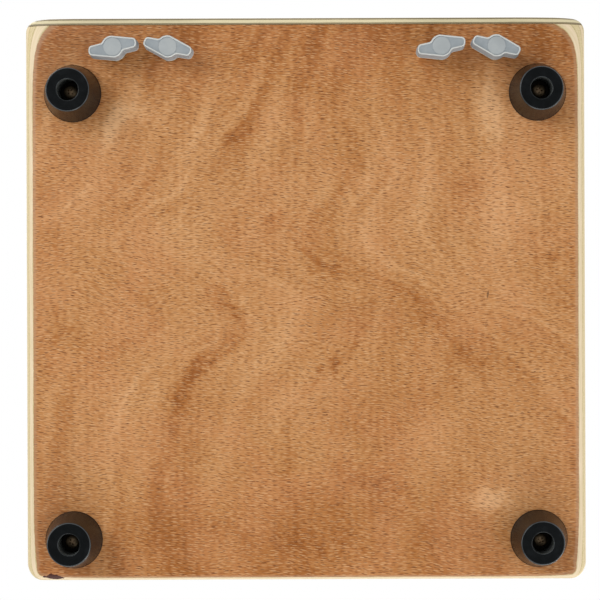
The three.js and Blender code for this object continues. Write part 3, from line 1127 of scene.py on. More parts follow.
@dataclass
class WoodenBox:
    """The plywood box: four boards, a back board let in flush, and the thin playing plate in front."""

    width: float = 300.0
    depth: float = 300.0
    foot_height: float = 20.0
    height: float = 500.0
    board: float = 12.0
    back_board: float = 8.0
    plate: float = 3.2
    board_plies: int = 7
    back_plies: int = 5
    bush_bore: float = 4.12
    # The gaps between the boards, and behind the plate.
    seam: float = 0.06
    plate_seam: float = 0.28
    front_upright: float = 6.5
    back_upright: float = 8.8
    side_round: float = 7.0
    back_round: float = 3.2
    # How much further the sanding reaches in at the corners underneath, and how soon that dies away.
    left_dip: tuple[float, float] = (23.0, 7.9)
    right_dip: tuple[float, float] = (34.0, 6.2)
    back_dip: tuple[float, float] = (5.5, 10.0)
    hole: SoundHole = field(default_factory=SoundHole)

    def __post_init__(self) -> None:
        """Works out the faces of the box from its sizes."""
        self.half = self.width / 2
        self.front = -self.depth / 2
        self.back = self.depth / 2
        self.plate_back = self.front + self.plate
        self.board_front = self.plate_back + self.plate_seam
        self.floor = self.foot_height + self.board
        self.ceiling = self.height - self.board

    def sanded_reach(self, side: float, y: float, z: float) -> float:
        """How far in from the side an edge that runs front to back is sanded.

        Args:
            side: The sign of the side.
            y: The place along the edge.
            z: The height, which tells the bottom from the top.

        Returns:
            The reach in mm.
        """
        if z > self.height / 2:
            return self.side_round
        extra, fade = self.left_dip if side < 0 else self.right_dip
        return self.side_round + extra * math.exp(-(y - self.front) / fade)

    def rounded(self, point: Vector) -> Vector:
        """Draws a point of the square block in to its place in the rounded one.

        Args:
            point: A point of the block in mm.

        Returns:
            Its place on the sanded form.
        """
        limits = ((-self.half, self.half), (self.front, self.back), (self.foot_height, self.height))

        def round_edge(one: int, two: int, reach_one: float, reach_two: float) -> None:
            """Eases the edges between two axes: each corner's square becomes a quarter of an ellipse.

            Args:
                one: The first axis.
                two: The second axis.
                reach_one: How far in the rounding starts along the first axis.
                reach_two: How far in it starts along the second.
            """
            inner_one = min(max(point[one], limits[one][0] + reach_one), limits[one][1] - reach_one)
            inner_two = min(max(point[two], limits[two][0] + reach_two), limits[two][1] - reach_two)
            off_one = (point[one] - inner_one) / reach_one
            off_two = (point[two] - inner_two) / reach_two
            point[one] = inner_one + off_one * math.sqrt(1 - off_two**2 / 2) * reach_one
            point[two] = inner_two + off_two * math.sqrt(1 - off_one**2 / 2) * reach_two

        if point.y < 0:
            round_edge(0, 1, self.front_upright, self.front_upright)
            reach = self.sanded_reach(math.copysign(1, point.x), point.y, point.z)
            round_edge(0, 2, reach, self.side_round)
            return point
        round_edge(0, 1, self.back_upright, self.back_upright)
        return self.rounded_behind(point)

    def rounded_behind(self, point: Vector) -> Vector:
        """Eases the lower and upper edge of the back half, following the outline round its upright corners.

        Args:
            point: A point whose upright corners are rounded already.

        Returns:
            Its place on the sanded form.
        """
        corner = self.back_upright
        side = math.copysign(1, point.x)
        over = Vector((abs(point.x) - (self.half - corner), point.y - (self.back - corner)))
        if over.x > 0 and over.y > 0:
            inset, way = corner - over.length, over.normalized()
        elif over.x > over.y:
            inset, way = corner - over.x, Vector((1.0, 0.0))
        else:
            inset, way = corner - over.y, Vector((0.0, 1.0))
        extra, fade = self.back_dip
        beside = self.side_round + extra * math.exp(-(self.back - point.y) / fade)
        behind = self.back_round + extra * math.exp(-(self.half - abs(point.x)) / fade)
        reach = beside * way.x**2 + behind * way.y**2
        rise = self.side_round * way.x**2 + self.back_round * way.y**2
        upper = point.z > self.height / 2
        level = self.height - point.z if upper else point.z - self.foot_height
        if inset >= reach or level >= rise:
            return point
        out, down = 1 - inset / reach, 1 - level / rise
        drawn_in = reach * (out - out * math.sqrt(1 - down**2 / 2))
        raised = rise * (down - down * math.sqrt(1 - out**2 / 2))
        lift = -raised if upper else raised
        return point + Vector((-side * way.x * drawn_in, -way.y * drawn_in, lift))

    def outer_block(self) -> bpy.types.Object:
        """The whole box as one solid with its sanded edges, from which each board is sawn.

        Returns:
            The solid.
        """
        cuts = [
            ease_cuts(-self.half, self.half, ROUND_CUTS + DIP_CUTS, 8),
            ease_cuts(self.front, self.back, ROUND_CUTS + DIP_CUTS, 8),
            ease_cuts(self.foot_height, self.height, ROUND_CUTS, 12),
        ]
        work = grid_block(cuts)
        for vertex in work.verts:
            vertex.co = self.rounded(vertex.co.copy())
        return object_from(work, "outer_block")

    def sawn(self, name: str, block: bpy.types.Object, low: Point, high: Point) -> bpy.types.Object:
        """Saws a board from the outer block.

        Args:
            name: The board's name.
            block: The outer block, which is kept.
            low: The lowest corner of the board's space in mm.
            high: The highest corner.

        Returns:
            The board.
        """
        board = bpy.data.objects.new(name, block.data.copy())
        bpy.context.scene.collection.objects.link(board)
        carve(board, plain_block(low, high), "INTERSECT")
        return board

    def back_panel(self) -> bpy.types.Object:
        """Builds the back board with its sound hole, whose rim is eased on both faces.

        Returns:
            The board.
        """
        inner = self.half - self.board - self.seam
        near = self.back - self.back_board
        low = (-inner, near, self.floor + self.seam)
        high = (inner, self.back, self.ceiling - self.seam)
        panel = plain_block(low, high, "back_board")
        radius, ease = self.hole.radius, self.hole.ease
        flare = [
            (radius + ease - ease * math.cos(a), ease - ease * math.sin(a))
            for a in (math.radians(10 * i) for i in range(10))
        ]
        thick = self.back_board
        profile = [(0.0, -1.0), (radius + ease, -1.0)]
        profile += [(r, z) for r, z in reversed(flare)]
        profile += [(r, thick - z) for r, z in flare]
        profile += [(radius + ease, thick + 1.0), (0.0, thick + 1.0)]
        work = turned(profile, segments=128)
        work.transform(
            Matrix.Translation((0.0, near, self.hole.height)) @ Matrix.Rotation(-math.pi / 2, 4, "X")
        )
        carve(panel, object_from(work, "tool"))
        return panel

    def plywood(self, name: str, lay: Lay) -> BeechPlywood:
        """The finish of a board other than the bottom one.

        Args:
            name: The board's name.
            lay: How it lies in the box.

        Returns:
            Its finish.
        """
        is_back = name == "back_board"
        return BeechPlywood(
            title=f"beech_plywood_{name}",
            lay=lay,
            plies=self.back_plies if is_back else self.board_plies,
            thick=self.back_board if is_back else self.board,
            figure=TOP_FIGURE if name == "top_board" else UPRIGHT_FIGURE,
        )

    def build(self, screws: PlateScrews, tuners: Tuners) -> None:
        """Builds and dresses the six boards.

        Args:
            screws: The plate's screws, for their countersinks.
            tuners: The tuners, for the holes of their bushes.
        """
        block = self.outer_block()
        far = 2 * self.height
        front, floor, ceiling, seam = self.board_front, self.floor, self.ceiling, self.seam
        inner = self.half - self.board
        boards = {
            "bottom_board": self.sawn("bottom_board", block, (-far, front, -far), (far, far, floor)),
            "top_board": self.sawn("top_board", block, (-far, front, ceiling), (far, far, far)),
            "left_board": self.sawn(
                "left_board", block, (-far, front, floor + seam), (-inner, far, ceiling - seam)
            ),
            "right_board": self.sawn(
                "right_board", block, (inner, front, floor + seam), (far, far, ceiling - seam)
            ),
            "playing_plate": self.sawn(
                "playing_plate", block, (-far, -far, -far), (far, self.plate_back, far)
            ),
            "back_board": self.back_panel(),
        }
        bpy.data.objects.remove(block)
        below, above = 10.0, 40.0
        bore = [(0.0, below), (self.bush_bore, below), (self.bush_bore, above), (0.0, above)]
        for x in tuners.places:
            work = turned(bore, segments=40)
            work.transform(Matrix.Translation((x, tuners.y, 0)))
            carve(boards["bottom_board"], object_from(work, "tool"))
        for _, x, z in screws.places:
            carve(boards["playing_plate"], screws.countersink(x, z))
        smooth(boards["bottom_board"])
        dress(boards["bottom_board"], BOTTOM_PLYWOOD, SHELL, ["bottom_panel"])
        lays = {
            "top_board": ("top_panel", Lay(Axis.X, Axis.Y, Axis.Z, self.height, -1, 71.0)),
            "left_board": ("side_panel_left", Lay(Axis.Z, Axis.Y, Axis.X, -self.half, 1, 133.0)),
            "right_board": ("side_panel_right", Lay(Axis.Z, Axis.Y, Axis.X, self.half, -1, 197.0)),
            "back_board": ("back_panel", Lay(Axis.Z, Axis.X, Axis.Y, self.back, -1, 251.0)),
        }
        for name, (node, lay) in lays.items():
            smooth(boards[name])
            dress(boards[name], self.plywood(name, lay), SHELL, [node])
        smooth(boards["playing_plate"])
        dress(boards["playing_plate"], PLATE_PLYWOOD, SHELL, ["front_plate"])


# The bottom board's own sheet of veneer, whose rings kink twice on their way across it.
BOTTOM_FIGURE = RingFigure(
    lines=(
        RingLine(
            0,
            0.16,
            ((-150, -60), (-120, -72), (-95, -84), (-54, -104), (-30, -141), (-13, -130),
             (11, -101), (31, -134), (75, -150), (150, -150)),
        ),
        RingLine(
            5,
            0.15,
            ((-150, -8), (-139, -12), (-120, -19), (-95, -34), (-61, -53), (-32, -80), (-2, -41),
             (16, -34), (46, -64), (75, -73), (110, -80), (150, -85)),
        ),
        RingLine(
            7,
            0.18,
            ((-150, 8), (-106, -2), (-61, -3), (-35, -21), (-15, 6), (-4, 38), (31, 18), (46, 3),
             (75, -10), (150, 0)),
        ),
        RingLine(
            10,
            0.18,
            ((-150, 36), (-128, 34), (-106, 32), (-69, 43), (-35, 27), (-6, 66), (20, 95),
             (45, 125), (75, 140), (150, 150)),
        ),
        RingLine(
            14,
            0.12,
            ((-150, 84), (-121, 86), (-72, 89), (-35, 90), (-2, 99), (15, 144), (45, 170),
             (150, 190)),
        ),
    ),
)
# The upright boards: tall arches one inside the other, as a peeled sheet shows them.
UPRIGHT_FIGURE = RingFigure(
    lines=(
        RingLine(
            0,
            0.05,
            ((-155, -230), (-95, -120), (-48, 10), (-20, 60), (10, 40), (60, -90), (155, -250)),
        ),
        RingLine(
            6,
            0.08,
            ((-155, -90), (-100, 40), (-55, 170), (-20, 240), (15, 215), (70, 90), (155, -60)),
        ),
        RingLine(
            12,
            0.05,
            ((-155, 80), (-100, 210), (-60, 330), (-15, 385), (25, 360), (80, 240), (155, 100)),
        ),
    ),
    outer_pitch=16.0,
)
# The top board: one slow bend.
TOP_FIGURE = RingFigure(
    lines=(
        RingLine(0, 0.05, ((-150, -120), (-70, -60), (0, -95), (60, -40), (150, -130))),
        RingLine(7, 0.09, ((-150, -20), (-70, 45), (0, 5), (60, 60), (150, -10))),
        RingLine(12, 0.05, ((-150, 70), (-70, 130), (0, 100), (60, 150), (150, 90))),
    ),
)
# The playing plate: a straight quiet sheet, its rings in long even stripes.
PLATE_FIGURE = RingFigure(
    lines=(
        RingLine(0, 0.04, ((-155, -390), (-60, -150), (0, 60), (70, 230), (155, 330))),
        RingLine(9, 0.05, ((-155, -150), (-60, 90), (0, 240), (70, 330), (155, 390))),
    ),
    depth=0.7,
    outer_pitch=30.0,
)
BOTTOM_PLYWOOD = BeechPlywood(
    title="beech_plywood_bottom_board",
    lay=Lay(Axis.X, Axis.Y, Axis.Z, 20.0, 1, 3.0),
    plies=7,
    thick=12.0,
    figure=BOTTOM_FIGURE,
    base_tone=0.565,
    mottles=(
        Patch(-18, -128, 26, 7, -65, 0.5),
        Patch(-42, -80, 36, 9, -56, 0.6),
        Patch(-66, -46, 16, 9, -56, 0.6),
        Patch(-4, -86, 30, 8, 92, 0.45),
        Patch(-19, -42, 12, 10, 60, 0.8),
        Patch(10, -18, 26, 8, 42, 0.6),
        Patch(-40, 2, 17, 13, 30, 1.0),
        Patch(-38, 14, 24, 13, -60, 1.0),
        Patch(-56, 36, 24, 11, -45, 0.9),
        Patch(-70, 62, 20, 8, 107, 0.7),
        Patch(30, 10, 22, 11, -60, 1.0),
        Patch(11, 38, 18, 10, -45, 1.0),
        Patch(42, 101, 36, 8, 17, 1.0),
        Patch(0, 131, 38, 13, 6, 0.9),
        Patch(-40, 126, 24, 14, 0, 0.5),
        Patch(86, -62, 12, 28, 0, 0.5),
        Patch(60, 2, 30, 16, 25, 0.5),
        Patch(85, 30, 22, 12, 20, 0.6),
        Patch(-128, 20, 24, 14, 40, 0.5),
        Patch(130, -30, 14, 30, -15, 0.5),
    ),
    dark_tone_and_shade=(
        # Painted shade, partly the wood's own darker tone: wide bands along the front, back and sides, where
        # the light falls off towards the edges.
        Patch(0, -165, 1000, 85, 0, 0.34),
        Patch(0, 170, 1000, 100, 0, 0.28),
        Patch(-165, 0, 60, 1000, 0, 0.12),
        Patch(165, 0, 60, 1000, 0, 0.08),
        Patch(-40, 10, 30, 20, 20, 0.10),
        Patch(-56, 34, 32, 14, -45, 0.12),
        Patch(24, 14, 30, 18, -50, 0.13),
        Patch(61, 54, 24, 22, 0, 0.12),
        Patch(-36, -86, 44, 13, -58, 0.08),
        Patch(84, -54, 12, 34, 0, 0.08),
        Patch(-110, 28, 30, 18, 30, 0.06),
    ),
    # Lighter patches of the wood's figure; the ones at (-98, -97) and (97, 107) are painted sheen highlights
    # where the lacquer catches the light.
    pale_figure_and_sheen=(
        Patch(-98, -97, 14, 38, 38, 0.42),
        Patch(100, -100, 15, 30, -12, 0.36),
        Patch(106, -50, 19, 40, -10, 0.26),
        Patch(97, 107, 17, 11, 0, 0.55),
        Patch(14, -64, 18, 46, 4, 0.07),
        Patch(-98, 60, 26, 30, 0, 0.06),
        Patch(30, 82, 34, 16, 0, 0.08),
        Patch(-120, -50, 20, 40, 0, 0.08),
    ),
    scars=(
        Patch(97.2, -2.2, 0.7, 2.9, 8, 0.75),
        Patch(-102.6, 98.3, 0.9, 0.6, 0, 0.6),
    ),
    edge_marks=(Patch(-135.9, 147.4, 10.5, 4.4, 17, 1.15),),
)
# The playing plate: three thin layers, the outer one of a greyer, straighter peeled veneer.
PLATE_PLYWOOD = BeechPlywood(
    title="thin_plywood_playing_plate",
    lay=Lay(Axis.Z, Axis.X, Axis.Y, -150.0, 1, 317.0),
    plies=1,
    thick=3.2,
    figure=PLATE_FIGURE,
    veneer=0.75,
    base_tone=0.61,
    tones=("94784a", "a98d60", "bca177", "c9b088", "d8c29c"),
    rosy="c4a57c",
    fleck="7d613c",
    pale_fleck="dcc9a4",
    margin="857a5e",
    margin_share=0.95,
    pale_ply="dfd3ae",
    end_ply="d6c79c",
    glue="7d6a3c",
    fleck_depth=0.6,
)


# ------------------------------------------------------------------------------------- plate screws


@dataclass(frozen=True)
class PlateScrews:
    """Countersunk cross-slot screws that hold the playing plate."""

    head: float = 3.4
    head_depth: float = 2.1
    shank: float = 1.5
    length: float = 20.0
    inset: float = 8.5
    # How far the heads lie below the plate's face, and the countersink's clearance round them.
    sunk: float = 0.18
    clearance: float = 0.12
    # The slot's reach, its blades' width and its depth.
    slot: tuple[float, float, float] = (1.9, 0.72, 1.5)
    side_heights: tuple[float, ...] = (44.0, 147.0, 260.0, 373.0, 476.0)
    cross_x: float = 60.0
    plate_half: float = 150.0
    plate_low: float = 20.0
    plate_high: float = 500.0
    plate_face: float = -150.0

    @property
    def places(self) -> list[tuple[str, float, float]]:
        """Where the screws are.

        Returns:
            The name, x and z of each screw.
        """
        side = self.plate_half - self.inset
        made = []
        for number, z in enumerate(self.side_heights, 1):
            made += [(f"left_{number}", -side, z), (f"right_{number}", side, z)]
        low, high = self.plate_low + self.inset, self.plate_high - self.inset
        for name, x in (("left", -self.cross_x), ("right", self.cross_x)):
            made += [(f"bottom_{name}", x, low), (f"top_{name}", x, high)]
        return made

    def stand(self, x: float, z: float) -> Matrix:
        """Turns a form that was made along +Z to lie along +Y, with its zero on the plate's face."""
        return Matrix.Translation((x, self.plate_face, z)) @ Matrix.Rotation(-math.pi / 2, 4, "X")

    def countersink(self, x: float, z: float) -> bpy.types.Object:
        """The tool that cuts one screw's countersink through the plate.

        Args:
            x: The screw's place across the plate.
            z: Its height.

        Returns:
            The tool.
        """
        head, shank = self.head + self.clearance, self.shank + self.clearance
        slope = (self.head - self.shank) / self.head_depth
        outside, inside = -1.0, 5.0
        profile = [
            (0.0, outside),
            (head + slope, outside),
            (shank, self.head_depth),
            (shank, inside),
            (0.0, inside),
        ]
        work = turned(profile, segments=40)
        work.transform(self.stand(x, z))
        return object_from(work, "tool")

    def build(self) -> None:
        """Builds each screw, its slot turned as the driver left it."""
        profile = eased(
            [
                (0.0, self.sunk, 0.0),
                (self.head - 0.15, self.sunk, 0.12),
                (self.head - 0.02, self.sunk + 0.25, 0.1),
                (self.shank, self.sunk + self.head_depth, 0.3),
                (self.shank, self.length - 4, 0.3),
                (0.0, self.length, 0.0),
            ],
            steps=3,
        )
        for number, (name, x, z) in enumerate(self.places):
            screw = object_from(turned(profile, segments=48), f"countersunk_screw_{name}")
            bit = cross_slot(*self.slot)
            bit.transform(Matrix.Translation((0, 0, self.sunk)))
            carve(screw, object_from(bit, "tool"))
            turn = Matrix.Rotation(math.radians(37 * number % 90), 4, "Z")
            to_metres, to_mm = Matrix.Scale(MM, 4), Matrix.Scale(1 / MM, 4)
            screw.data.transform(to_metres @ self.stand(x, z) @ turn @ to_mm)
            smooth(screw)
            dress(screw, ZINC_PLATED_STEEL, SHELL, [f"plate_screw_{name}"])


# --------------------------------------------------------------------------------------------- feet


@dataclass(frozen=True)
class Feet:
    """Four tapered rubber feet, each with a pan-head wood screw at the bottom of its recess."""

    x: float = 124.0
    front_y: float = -110.0
    back_y: float = 128.0
    top: float = 19.95
    base: float = 15.25
    end: float = 11.5
    recess: float = 5.75
    recess_top: float = 14.8
    bore: float = 2.4
    screw_head: float = 3.6
    screw_bottom: float = 10.9
    screw_top: float = 13.1
    screw_shank: float = 2.0
    screw_tip: float = 30.1
    # The slot's reach, its blades' width and its depth, and how far the driver left each one turned.
    slot: tuple[float, float, float] = (2.1, 0.95, 1.6)
    slot_turns: tuple[float, ...] = (38.0, 12.0, 62.0, 25.0)

    def foot(self, name: str) -> bpy.types.Object:
        """One foot: a taper with an eased end and a rolled mouth to its recess.

        Args:
            name: Its name.

        Returns:
            The foot, standing on the box's axis.
        """
        corners = [
            (self.recess, 0.0, 0.45),
            (self.recess + 0.6, 0.0, 0.0),
            (self.end - 0.9, 0.0, 0.0),
            (self.end - 0.5, 0.0, 0.3),
            (self.end + 0.03, 0.62, 0.25),
            (self.base - 0.25, self.top - 1.3, 0.4),
            (self.base, self.top - 1.0, 0.2),
            (self.base, self.top, 0.15),
            (self.bore, self.top, 0.0),
            (self.bore, self.recess_top, 0.0),
            (self.recess - 0.1, self.recess_top, 0.4),
        ]
        return object_from(turned(eased(corners), segments=96), name)

    def screw(self, name: str, turn: float) -> bpy.types.Object:
        """One pan-head screw with a domed, cross-slotted head.

        Args:
            name: Its name.
            turn: How far its slot is turned in degrees.

        Returns:
            The screw, standing on the box's axis.
        """
        height = self.screw_top - self.screw_bottom
        dome = [
            (self.screw_head * math.sin(a), self.screw_bottom + height * 0.75 * (1 - math.cos(a)))
            for a in (math.radians(7.5 * i) for i in range(13))
        ]
        shank = [
            (self.screw_head, self.screw_top),
            (self.screw_shank, self.screw_top),
            (self.screw_shank, self.screw_tip - 3),
            (0.0, self.screw_tip),
        ]
        screw = object_from(turned(dome + shank, segments=48), name)
        bit = cross_slot(*self.slot)
        raised = Matrix.Translation((0, 0, self.screw_bottom))
        bit.transform(raised @ Matrix.Rotation(math.radians(turn), 4, "Z"))
        carve(screw, object_from(bit, "tool"))
        return screw

    def build(self) -> None:
        """Builds the four feet and their screws, and dresses the washers that stay as they are."""
        places = [
            ("front_left", -self.x, self.front_y),
            ("front_right", self.x, self.front_y),
            ("back_left", -self.x, self.back_y),
            ("back_right", self.x, self.back_y),
        ]
        for (corner, x, y), turn in zip(places, self.slot_turns):
            move = Matrix.Translation((x * MM, y * MM, 0))
            foot = self.foot(f"rubber_foot_{corner}")
            screw = self.screw(f"pan_head_screw_{corner}", turn)
            for piece in (foot, screw):
                piece.data.transform(move)
                smooth(piece)
            dress(foot, RUBBER, SHELL, [f"foot_{corner}"])
            dress(screw, BRONZED_STEEL, SHELL, [f"foot_screw_{corner}"])
            dress_frame_node(f"foot_washer_{corner}", BLACKENED_STEEL, 0.1)


# ------------------------------------------------------------------------------------ string tuners


def dress_frame_node(name: str, finish: Finish, ease: float) -> None:
    """Dresses a node of the frame whose shape is right, and eases its edges a little.

    Args:
        name: The node.
        finish: Its finish.
        ease: The width of the eased edges in mm.
    """
    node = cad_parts[name]
    node.data.materials.clear()
    node.data.materials.append(finish.material())
    node.modifiers.new("whole_skin", "WELD").merge_threshold = 0.001 * MM
    bevel = node.modifiers.new("eased_edges", "BEVEL")
    bevel.width = ease * MM
    bevel.segments = 2
    bevel.limit_method = "ANGLE"
    bevel.angle_limit = math.radians(40)
    LOG.info("%s: dressed as packed", name)


@dataclass(frozen=True)
class Tuners:
    """The four string tuners: wing knobs under the box, screws, brass bushes, carriages and guides."""

    places: tuple[float, ...] = (-101.0, -72.0, 72.0, 101.0)
    y: float = -133.0
    turns: tuple[float, ...] = (2.2, 26.0, 2.9, 27.5)
    bottom: float = 5.0
    top: float = 16.0
    neck: float = 5.0
    neck_bottom: float = 14.0
    neck_top: float = 18.2
    socket: float = 4.4
    socket_bottom: float = 12.2
    socket_top: float = 20.0
    hub: float = 4.75
    # How far the hub's face lies behind the rim, and where the hub ends inside the knob.
    hub_drop: float = 0.19
    hub_top: float = 8.0
    curve_steps: int = 9

    def outline(self) -> list[Vector]:
        """The knob's outline: a round hub with two swept wings, each the other's half turn.

        Returns:
            Its points in anticlockwise order.
        """
        wing: list[tuple[tuple[float, float], ...]] = [
            ((10.3, -5.5),),
            ((12.7, -5.3), (12.8, -2.6)),
            ((12.9, 0.1), (11.0, 0.5)),
            ((7.2, 1.6),),
            ((6.0, 1.8), (5.6, 2.7)),
            ((4.4, 5.3), (1.3, 6.1)),
        ]
        points = [Vector((-1.3, -6.1))]
        for side in (1, -1):
            for leg in wing:
                start, end = points[-1], Vector(leg[-1]) * side
                middle = Vector(leg[0]) * side if len(leg) == 2 else (start + end) / 2
                for step in range(1, self.curve_steps + 1):
                    t = step / self.curve_steps
                    points.append(start * (1 - t) ** 2 + middle * (2 * t * (1 - t)) + end * t**2)
        return points[:-1]

    def inset(self, outline: Sequence[Vector], distance: float) -> list[Vector]:
        """Moves an outline inward.

        Args:
            outline: Points in anticlockwise order.
            distance: How far in mm.

        Returns:
            The moved points.
        """
        made = []
        count = len(outline)
        for i, here in enumerate(outline):
            before = (here - outline[i - 1]).normalized()
            after = (outline[(i + 1) % count] - here).normalized()
            along = (before + after).normalized()
            stretch = 1 / max(0.5, along.dot(before))
            made.append(here + Vector((-along.y, along.x)) * distance * stretch)
        return made

    def knob(self, name: str) -> bpy.types.Object:
        """One wing knob: a rimmed face with a shallow field, a hub, a base lip, a neck and a socket.

        Args:
            name: Its name.

        Returns:
            The knob, standing on the box's axis.
        """
        outline = self.outline()
        # How far in from the outline each ring of the knob's wall and face lies, and its height.
        layers = [
            (0.5, self.top),
            (0.12, self.top - 0.12),
            (0.0, self.top - 0.5),
            (0.0, self.top - 1.2),
            (0.18, self.top - 1.5),
            (0.26, self.bottom + 0.95),
            (0.32, self.bottom + 0.5),
            (0.44, self.bottom + 0.14),
            (0.6, self.bottom),
            (0.95, self.bottom),
            (1.08, self.bottom + 0.06),
            (1.2, self.bottom + 0.32),
            (1.45, self.bottom + 0.4),
        ]
        work = bmesh.new()
        rings = [[work.verts.new((p.x, p.y, z)) for p in self.inset(outline, d)] for d, z in layers]
        for ring, following in zip(rings, rings[1:]):
            for i in range(len(ring)):
                j = (i + 1) % len(ring)
                work.faces.new((ring[i], ring[j], following[j], following[i]))
        work.faces.new(rings[0])
        work.faces.new(rings[-1])
        knob = object_from(work, name)
        hub_face = self.bottom + self.hub_drop
        hub = eased(
            [
                (0.0, hub_face, 0.0),
                (self.hub, hub_face, 0.14),
                (self.hub + 0.1, self.hub_top, 0.0),
                (0.0, self.hub_top, 0.0),
            ],
            steps=4,
        )
        neck = [
            (0.0, self.neck_bottom),
            (self.neck, self.neck_bottom),
            (self.neck, self.neck_top),
            (0.0, self.neck_top),
        ]
        socket = [
            (0.0, self.socket_bottom),
            (self.socket, self.socket_bottom),
            (self.socket, self.socket_top),
            (0.0, self.socket_top),
        ]
        carve(knob, object_from(turned(hub, segments=64), "tool"), "UNION")
        carve(knob, object_from(turned(neck, segments=64), "tool"), "UNION")
        carve(knob, object_from(turned(socket, segments=64), "tool"))
        return knob

    def build(self) -> None:
        """Builds the knobs and dresses what lies behind them."""
        pattern = self.knob("wing_knob_pattern")
        smooth(pattern, 40.0)
        for number, (x, turn) in enumerate(zip(self.places, self.turns), 1):
            knob = bpy.data.objects.new(f"winged_knob_{number}", pattern.data.copy())
            bpy.context.scene.collection.objects.link(knob)
            place = Matrix.Translation((x * MM, self.y * MM, 0))
            knob.data.transform(place @ Matrix.Rotation(math.radians(turn), 4, "Z"))
            dress(knob, NYLON, f"tuner_{number}", [f"wing_knob_{number}"])
            dress_frame_node(f"tension_screw_{number}", ZINC_PLATED_STEEL, 0.15)
            dress_frame_node(f"screw_bush_{number}", TURNED_BRASS, 0.15)
            dress_frame_node(f"string_carriage_{number}", TURNED_BRASS, 0.4)
            dress_frame_node(f"string_ball_{number}", TURNED_BRASS, 0.05)
        bpy.data.objects.remove(pattern)
        for name in ("carriage_guide_left", "carriage_guide_right", "string_bar"):
            dress_frame_node(name, BARE_BEECH, 0.6)


@dataclass(frozen=True)
class Strings:
    """The four snare strings: each rises from its carriage behind the plate and hooks through the bar."""

    radius: float = 0.6
    start: tuple[float, float] = (-133.0, 86.3)
    lip: tuple[float, float] = (-145.7, 425.0)
    hole: float = 436.0
    bar_front: float = -144.6
    bar_back: float = -124.6
    sides: int = 14
    slant_steps: int = 24
    bend_steps: int = 8
    bar_steps: int = 4

    def route(self) -> list[Vector]:
        """The line of a string in its own plane, from its carriage to the back of the bar.

        Returns:
            Its points.
        """
        start = Vector((0.0, *self.start))
        lip = Vector((0.0, *self.lip))
        points = [start.lerp(lip, i / self.slant_steps) for i in range(self.slant_steps + 1)]
        bend = self.bar_front - self.lip[0]
        low = Vector((0.0, self.lip[0], self.hole - bend))
        corner = Vector((0.0, self.lip[0], self.hole))
        high = Vector((0.0, self.bar_front, self.hole))
        for i in range(self.bend_steps + 1):
            t = i / self.bend_steps
            points.append(low * (1 - t) ** 2 + corner * (2 * t * (1 - t)) + high * t**2)
        end = Vector((0.0, self.bar_back, self.hole))
        points += [high.lerp(end, i / self.bar_steps) for i in range(1, self.bar_steps + 1)]
        return points

    def build(self, tuners: Tuners) -> None:
        """Builds each string as a tube that stretches between its carriage and the bar.

        Args:
            tuners: The tuners that hold them.
        """
        route = self.route()
        for number, x in enumerate(tuners.places, 1):
            work = bmesh.new()
            rings = []
            for i, point in enumerate(route):
                ahead = route[min(i + 1, len(route) - 1)] - route[max(i - 1, 0)]
                ahead.normalize()
                side = Vector((1.0, 0.0, 0.0))
                up = ahead.cross(side)
                ring = []
                for k in range(self.sides):
                    angle = 2 * math.pi * k / self.sides
                    out = side * math.cos(angle) + up * math.sin(angle)
                    ring.append(work.verts.new(point + Vector((x, 0, 0)) + out * self.radius))
                rings.append(ring)
            for ring, following in zip(rings, rings[1:]):
                for k in range(self.sides):
                    j = (k + 1) % self.sides
                    work.faces.new((ring[k], ring[j], following[j], following[k]))
            work.faces.new(rings[0])
            work.faces.new(rings[-1])
            string = object_from(work, f"snare_string_{number}")
            smooth(string)
            dress(string, DRAWN_STEEL, "", [f"string_{number}"])
            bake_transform(string)


# --------------------------------------------------------------------------------------- the studio


@dataclass(frozen=True)
class SoftLamp:
    """A large soft lamp: where it stands, what it points at, its size in metres and its power."""

    name: str
    place: Point
    aim: Point
    size: tuple[float, float]
    power: float
    colour: str = "ffffff"

    def build(self) -> None:
        """Hangs the lamp."""
        light = bpy.data.lights.new(self.name, "AREA")
        light.shape = "RECTANGLE"
        light.size, light.size_y = self.size
        light.energy = self.power
        light.color = linear(self.colour)[:3]
        lamp = bpy.data.objects.new(self.name, light)
        lamp.location = self.place
        way = Vector(self.aim) - Vector(self.place)
        lamp.rotation_euler = way.to_track_quat("-Z", "Y").to_euler()
        bpy.context.scene.collection.objects.link(lamp)


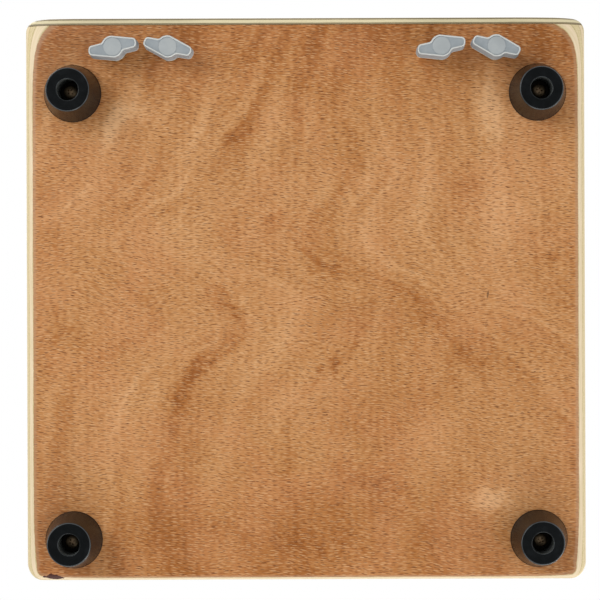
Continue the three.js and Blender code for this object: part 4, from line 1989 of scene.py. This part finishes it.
@dataclass(frozen=True)
class Studio:
    """A white studio round the cajon, seen straight on from below its feet."""

    camera_place: Point = (0.0146, -0.0004, -0.9019)
    camera_roll: float = 0.2
    lens: float = 103.6
    shift: tuple[float, float] = (-0.0552, -0.0029)
    floor_reach: float = 6.0
    lamps: tuple[SoftLamp, ...] = (
        SoftLamp("low_left", (-1.0, -0.6, -0.95), (0.0, 0.0, 0.02), (0.8, 0.8), 9.5),
        SoftLamp("low_right", (1.15, 0.3, -0.85), (0.0, 0.0, 0.02), (1.0, 1.3), 5.8),
        SoftLamp("low_back", (0.15, 1.25, -0.45), (0.0, 0.0, 0.02), (1.3, 0.6), 6.5),
        SoftLamp("high_front", (-1.3, -1.7, 1.9), (0.0, 0.0, 0.25), (1.4, 1.4), 25.0),
        SoftLamp("high_back", (1.5, 1.6, 1.7), (0.0, 0.0, 0.25), (1.4, 1.4), 20.0),
    )
    # The room's light by direction, from straight down to straight up.
    room_light: tuple[tuple[float, float], ...] = (
        (0.0, 0.15),
        (0.1, 0.24),
        (0.19, 0.62),
        (0.275, 0.87),
        (0.375, 0.79),
        (0.5, 0.58),
        (1.0, 0.58),
    )
    room_strength: float = 1.2

    def world(self) -> None:
        """Lights the room: white behind the cajon, dim straight below it and bright all round."""
        world = bpy.data.worlds.new("white_room")
        bpy.context.scene.world = world
        world.use_nodes = True
        sheet = Sheet(world.node_tree)
        way = sheet.add("TexCoord", out="Generated")
        height = sheet.add("SeparateXYZ", {0: way}, out=2)
        share = sheet.add("MapRange", {0: height, 1: -1.0, 2: 1.0})
        light = sheet.add("FloatCurve", {"Value": share}, stops=self.room_light)
        light = sheet.add("Math", {0: light, 1: self.room_strength}, operation="MULTIPLY")
        seen = sheet.add("LightPath", out="Is Camera Ray")
        strength = sheet.add("Mix", {0: seen, 2: light, 3: 1.0}, data_type="FLOAT")
        glow = sheet.add("Background", {"Color": (1.0, 1.0, 1.0, 1.0), "Strength": strength})
        sheet.add("OutputWorld", {"Surface": glow})

    def floor(self) -> None:
        """Lays a pale floor that is seen from above only and hides no lamp from the underside."""
        reach = self.floor_reach
        work = bmesh.new()
        corners = [(-reach, -reach), (reach, -reach), (reach, reach), (-reach, reach)]
        work.faces.new([work.verts.new((x, y, 0.0)) for x, y in corners])
        mesh = bpy.data.meshes.new("studio_floor")
        work.to_mesh(mesh)
        work.free()
        floor = bpy.data.objects.new("studio_floor", mesh)
        bpy.context.scene.collection.objects.link(floor)
        paper = bpy.data.materials.new("matt_white_paper")
        paper.use_nodes = True
        sheet = Sheet(paper.node_tree)
        matt = sheet.add("BsdfDiffuse", {"Color": linear("efeeec")})
        clear = sheet.add("BsdfTransparent")
        under = sheet.add("NewGeometry", out="Backfacing")
        both = sheet.add("MixShader", {0: under, 1: matt, 2: clear})
        sheet.add("OutputMaterial", {"Surface": both})
        mesh.materials.append(paper)
        floor.visible_shadow = False
        floor.visible_diffuse = False
        floor.visible_glossy = False

    def camera(self) -> None:
        """Sets the camera under the box, looking straight up, with the playing plate at the top."""
        lens = bpy.data.cameras.new("underside_camera")
        lens.lens = self.lens
        lens.sensor_width = 36.0
        lens.shift_x, lens.shift_y = self.shift
        lens.clip_start = 0.05
        camera = bpy.data.objects.new("underside_camera", lens)
        camera.location = self.camera_place
        camera.rotation_euler = (math.pi, 0.0, math.radians(self.camera_roll))
        bpy.context.scene.collection.objects.link(camera)
        bpy.context.scene.camera = camera

    def build(self) -> None:
        """Sets up the camera, the room, the floor and the lamps, with plain colour handling."""
        self.camera()
        self.world()
        self.floor()
        for lamp in self.lamps:
            lamp.build()
        view = bpy.context.scene.view_settings
        view.view_transform = "Standard"
        view.look = "None"
        LOG.info("studio: %d lamps", len(self.lamps))


def main() -> None:
    """Builds the studio and the cajon."""
    logging.basicConfig(level=logging.INFO, format="%(name)s %(message)s")
    Studio().build()
    tuners = Tuners()
    screws = PlateScrews()
    WoodenBox().build(screws, tuners)
    screws.build()
    Feet().build()
    tuners.build()
    Strings().build(tuners)


if __name__ == "__main__":
    main()
